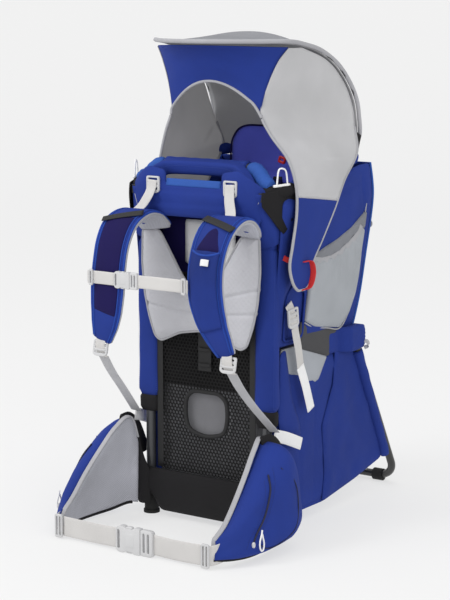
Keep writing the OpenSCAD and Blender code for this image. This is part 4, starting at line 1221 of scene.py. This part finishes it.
# Lifter webs, adjusters and lower webs
for name, s in SIDES:
    lift = curve([[88 * s, -55, 664], [89 * s, -57, 650], [92 * s, -62, 636], [100 * s, -70, 618],
                  [107 * s, -80, 607]], 30)
    band(f"lifter_web_{name}", lift, (1, 0, 0), 10.5, 1.7, webbing, (
        "frame", "harness", tuple(metres((0, -56, 648))), tuple(metres((0, -78, 612)))),
        once(s, "strap_webs"))
    ladder(f"strap_lock_{name}", lambda u, v, out, s=s: xyz(s * 146 + u, -143 - out + v * 0.2, 350 + v), 34, 30,
           "harness", once(s, "strap_locks"))
    top = curve([[s * 143, -143, 372], [s * 145, -146, 358], [s * 146, -142, 342], [s * 147, -134, 332]], 16)
    band(f"lock_web_{name}", top, (1, 0, 0), 11, 1.7, webbing, "harness")
    low = curve([[s * 147, -134, 334], [s * 149, -108, 300], [s * 152, -72, 262], [s * 158, -36, 226],
                 [s * 162, -14, 204]], 50)
    band(f"lower_web_{name}", low, (1, 0, 0), 12, 1.7, webbing_mid, (
        "frame", "harness", tuple(metres((0, -30, 220))), tuple(metres((0, -128, 326)))))
panel("lifter_end", [[-9, 0], [10, -2], [4, -26], [-2, -34], [-8, -22]],
      lambda u, v, out: xyz(112 + u, -50 - out - 4 * np.sin(v / 14), 656 + v), webbing, "frame",
      step=3, rise=1, edge=5, thick=1.5, corner=2)

# Sternum strap
STERNUM = ("sternum", "sternum_clip", tuple(metres((76, -175, 490))), tuple(metres((-20, -175, 490))))
for name, x0, x1, body, node in (("left", -149, -86, "sternum", "sternum_web_socket"),
                                 ("right", -33, 80, STERNUM, "sternum_web_plug")):
    x = np.linspace(x0, x1, 30)
    y = -175 + 1.2 * np.sin((x - x0) / (x1 - x0) * math.pi)
    band(f"sternum_web_{name}", xyz(x, y, 490), (0, 0, 1), 12, 1.7, webbing, body,
         (node,))
for name, s in SIDES:
    moulded(f"sternum_slider_{name}", oblong(9, 31), [oblong(3, 24)], 4.5, facing(72 if s > 0 else -140, -177, 490),
            hard_grey, "sternum", bevel=1.2)


# ---- Child seat ----

seat = panel("seat_cushion", [[-62, 66], [62, 66], [62, 203], [-62, 203]],
             lambda u, v, out: xyz(u, v, 416 + out), blue, "seat", ("seat_pad",), step=6, rise=11,
             edge=26, thick=12, corner=14, seams=([[-30, 70], [-30, 200]], [[30, 70], [30, 200]]), wave=2)
back_half = [[66, 402], [72, 480], [74, 560], [84, 628], [90, 680], [88, 722], [72, 746], [50, 754]]
back_outline = back_half + [[-x, z] for x, z in back_half[::-1]]
rest = panel("seat_back_cushion", back_outline, on_back(211), blue_rest, "seat", ("seat_back",), step=6, rise=9,
             edge=24, thick=10, corner=16, groove=4,
             seams=([[-84, 664], [84, 664]], [[-36, 410], [-40, 650]], [[36, 410], [40, 650]]), wave=2)
tube("seat_back_piping", [(x, 207, z) for x, z in rounded(back_outline, 16)], 2.0, navy, "seat", closed=True)
for name, s in SIDES:
    web = curve([[26 * s, 201, 656], [27 * s, 196, 620], [26 * s, 194, 560], [22 * s, 190, 500], [16 * s, 176, 440]], 40)
    band(f"child_web_{name}", web, (1, 0, 0), 10, 1.8, webbing_black, "seat", once(s, "child_harness"))
    pad = panel(f"child_pad_{name}", [[-15, 0], [15, 0], [15, 104], [-15, 104]],
                lambda u, v, out, s=s: xyz(26 * s + u, 193 - out, 548 + v), navy, "seat",
                step=5, rise=4, edge=8, thick=3, corner=6)
moulded("child_buckle", [[-19, -13], [19, -13], [22, 0], [19, 13], [-19, 13], [-22, 0]], [oblong(6, 12)], 9,
        facing(0, 188, 528), hard_black, "seat", bevel=2)
# Red adjusters on the child's harness, by the front of the cockpit
moulded("child_adjuster_a", oblong(22, 12), [oblong(14, 3)], 5, facing(-4, 150, 676, 0.1), red_hard, "seat", bevel=1)
moulded("child_adjuster_b", oblong(16, 14), [oblong(9, 4)], 5, facing(68, 152, 694, -0.3), red_hard, "seat", bevel=1)


# ---- Sunshade ----

roof_side = curve([[149, 50, 917], [154, 92, 911], [159, 140, 899], [163, 190, 873], [165.5, 228, 838],
                   [167, 251, 804], [167, 261, 770], [165, 268, 744], [158, 272, 724], [150, 274, 698]], 60)
roof_mid = curve([[-44, 922], [70, 932], [150, 936], [212, 920], [252, 886], [274, 842], [284, 792], [286, 754],
                  [285, 722], [276, 698]], 60)
grid = []
for k in range(60):
    t = np.linspace(-1, 1, 56)
    x = roof_side[k][0] * t
    y = roof_side[k][1] + (roof_mid[k][0] - roof_side[k][1]) * (1 - t * t)
    z = roof_side[k][2] + (roof_mid[k][1] - roof_side[k][2]) * (1 - t * t)
    sag = 2.0 * math.sin(k / 59 * math.pi * 3) ** 2 * (1 - t ** 4)
    wob = np.array([noise.noise(Vector((v * 2.2, k / 14, 5.0))) for v in t]) * 1.8 * (1 - t ** 8)
    grid.append(xyz(x, y - sag * 0.5, z - sag * 0.5 + wob))
roof = shell("shade_roof_cloth", grid, 1.4, [roof_inside, grey_roof], "sunshade", ("shade_roof",))

rows = curve([[149, 46, 911, -44, 914], [131, 38, 885, -26, 904], [113, 32, 842, -8, 878], [101, 26, 794, 8, 848]], 34)
grid = []
for k, r in enumerate(rows):
    t = np.linspace(-1, 1, 56)
    wob = np.array([noise.noise(Vector((v * 2.4, k / 9, 8.0))) for v in t]) * 2.2 * math.sin(k / 33 * math.pi)
    grid.append(xyz(r[0] * t, r[1] + (r[3] - r[1]) * (1 - t * t) + wob, r[2] + (r[4] - r[2]) * (1 - t * t)))
front = shell("shade_front_cloth", grid, 1.4, blue, "sunshade", ("shade_front",))
face_arch = grid[-1]

upper_rows = [[149, 46, 910, 155, 82], [131, 38, 884, 161, 162], [113, 32, 842, 165, 216], [101, 26, 794, 167, 246]]
free_rows = [[128, 20, 752, 168, 254], [168, 18, 708, 184, 236], [184, 20, 660, 188, 184], [187, 18, 610, 188, 150],
             [188, 4, 555, 188, 106], [188, -6, 515, 188, 72], [188, 6, 482, 188, 62], [188, 22, 468, 188, 48]]
tucked_rows = [[111, 20, 752, 165, 266], [122, 20, 712, 153, 272], [134, 22, 660, 150, 232], [138, 30, 612, 148, 180],
               [140, 40, 580, 147, 112]]
SIDE_ROWS = {1: curve(upper_rows + free_rows, 150), -1: curve(upper_rows + tucked_rows, 150)}


def row_at(z, s):
    return float(np.interp(-z, -SIDE_ROWS[s][:, 2], np.arange(150)))


def side_sheet(v, t, s):
    rows = SIDE_ROWS[s]
    k = min(148, int(v))
    r = rows[k] * (1 - (v - k)) + rows[k + 1] * (v - k)
    ripple = 1.6 * noise.noise(Vector((t * 2.5, v / 16, 4.0 + s))) * math.sin(math.pi * t)
    belly = 3.0 * math.sin(math.pi * t) if r[2] < 700 and s > 0 else 0
    return (s * (r[0] + (r[3] - r[0]) * (1 - (1 - t) ** 2.5) + ripple + belly * 0.5), r[1] + (r[4] - r[1]) * t, r[2])


for name, s in SIDES:
    seam = [row_at(640 - 18 * t, s) for t in np.linspace(0, 1, 26)]
    upper = [[side_sheet(seam[j] * k / 69, t, s) for j, t in enumerate(np.linspace(0, 1, 26))] for k in range(70)]
    lower = [[side_sheet(seam[j] + (149 - seam[j]) * k / 49, t, s) for j, t in enumerate(np.linspace(0, 1, 26))]
             for k in range(50)]
    mesh_side = shell(f"shade_mesh_{name}", outward(upper, -s), 1.2, [mesh_inside, grey_mesh], "sunshade",
                      once(s, "shade_sides"))
    tail = shell(f"shade_tail_{name}", outward(lower, -s), 1.6, blue, "sunshade")
    # Piping down the front edge, round the tail and up the rear edge
    front_edge = [side_sheet(v, 0, s) for v in np.arange(row_at(780, s), 150, 3)]
    rear_edge = [side_sheet(v, 1, s) for v in np.arange(147, row_at(758, s), -3)]
    bottom = [side_sheet(149, t, s) for t in np.linspace(0.15, 0.85, 8)]
    tube(f"shade_piping_{name}", curve(front_edge + bottom + rear_edge, 150), 2.8, piping, "sunshade", sides=10)
    stitch("sunshade", thread_grey, [np.array(side_sheet(seam[j], t, s)) + (s * 0.8, 0, 3)
                                     for j, t in enumerate(np.linspace(0, 1, 26))])
    band(f"shade_patch_{name}", spaced([[s * 172, 262, 742], [s * 178, 240, 712]], 8), (0, 1, 0.5), 8, 2, black,
         "sunshade")
tube("face_arch_piping", curve([side_sheet(row_at(782, -1), 0, -1)] + [tuple(p) for p in face_arch[::4]]
                               + [side_sheet(row_at(782, 1), 0, 1)], 120), 2.8, piping, "sunshade")

# Binding over the hoop and along the brim
hoop_side = [[156, 286, 722], [168, 274, 744], [171, 266, 770], [171, 256, 806], [169, 232, 842], [166, 192, 878],
             [162, 140, 904], [157, 90, 916], [152, 44, 922]]
brim = [[152 * t, -50 + 94 * t * t, 922] for t in (0.75, 0.5, 0.25, 0, -0.25, -0.5, -0.75)]
hoop = curve(hoop_side + brim + [[-x, y, z] for x, y, z in hoop_side[::-1]], 220)
tube("shade_binding", hoop, 4.2, piping, "sunshade", sides=12)

for (body, thread), (verts, faces) in STITCHES.items():
    piece(f"stitching_{body}_{thread}", verts, faces, bpy.data.materials[thread], body)


# ---- Studio floor ----

paper = bpy.data.materials.new("studio_paper")
paper.use_nodes = True
paper.node_tree.nodes["Principled BSDF"].inputs["Base Color"].default_value = (0.26, 0.26, 0.26, 1)
paper.node_tree.nodes["Principled BSDF"].inputs["Emission Color"].default_value = (1, 1, 1, 1)
glow = paper.node_tree.nodes.new("ShaderNodeMapRange")
far = paper.node_tree.nodes.new("ShaderNodeVectorMath")
far.operation = "LENGTH"
where = paper.node_tree.nodes.new("ShaderNodeTexCoord")
paper.node_tree.links.new(where.outputs["Object"], far.inputs[0])
paper.node_tree.links.new(far.outputs["Value"], glow.inputs["Value"])
for socket, value in (("From Min", 0.5), ("From Max", 8.0), ("To Min", 0.62), ("To Max", 0.66)):
    glow.inputs[socket].default_value = value
paper.node_tree.links.new(glow.outputs[0], paper.node_tree.nodes["Principled BSDF"].inputs["Emission Strength"])
paper.node_tree.nodes["Principled BSDF"].inputs["Roughness"].default_value = 1.0
paper.node_tree.nodes["Principled BSDF"].inputs["Specular IOR Level"].default_value = 0.0
# Paper rises in a quarter circle behind the object, square to the camera
sweep_line = [(-9, 0), *((6 + 3 * math.sin(a), 3 - 3 * math.cos(a)) for a in np.linspace(0, math.pi / 2, 16)), (9, 9)]
turn = math.radians(34.75)
corners = [(x * math.cos(turn) - y * math.sin(turn), x * math.sin(turn) + y * math.cos(turn), z)
           for y, z in sweep_line for x in (-12, 12)]
mesh = bpy.data.meshes.new("studio_floor")
mesh.from_pydata(corners, [], [(2 * k, 2 * k + 1, 2 * k + 3, 2 * k + 2) for k in range(len(sweep_line) - 1)])
mesh.materials.append(paper)
floor = bpy.data.objects.new("studio_floor", mesh)
scene.collection.objects.link(floor)
for face in mesh.polygons:
    face.use_smooth = True
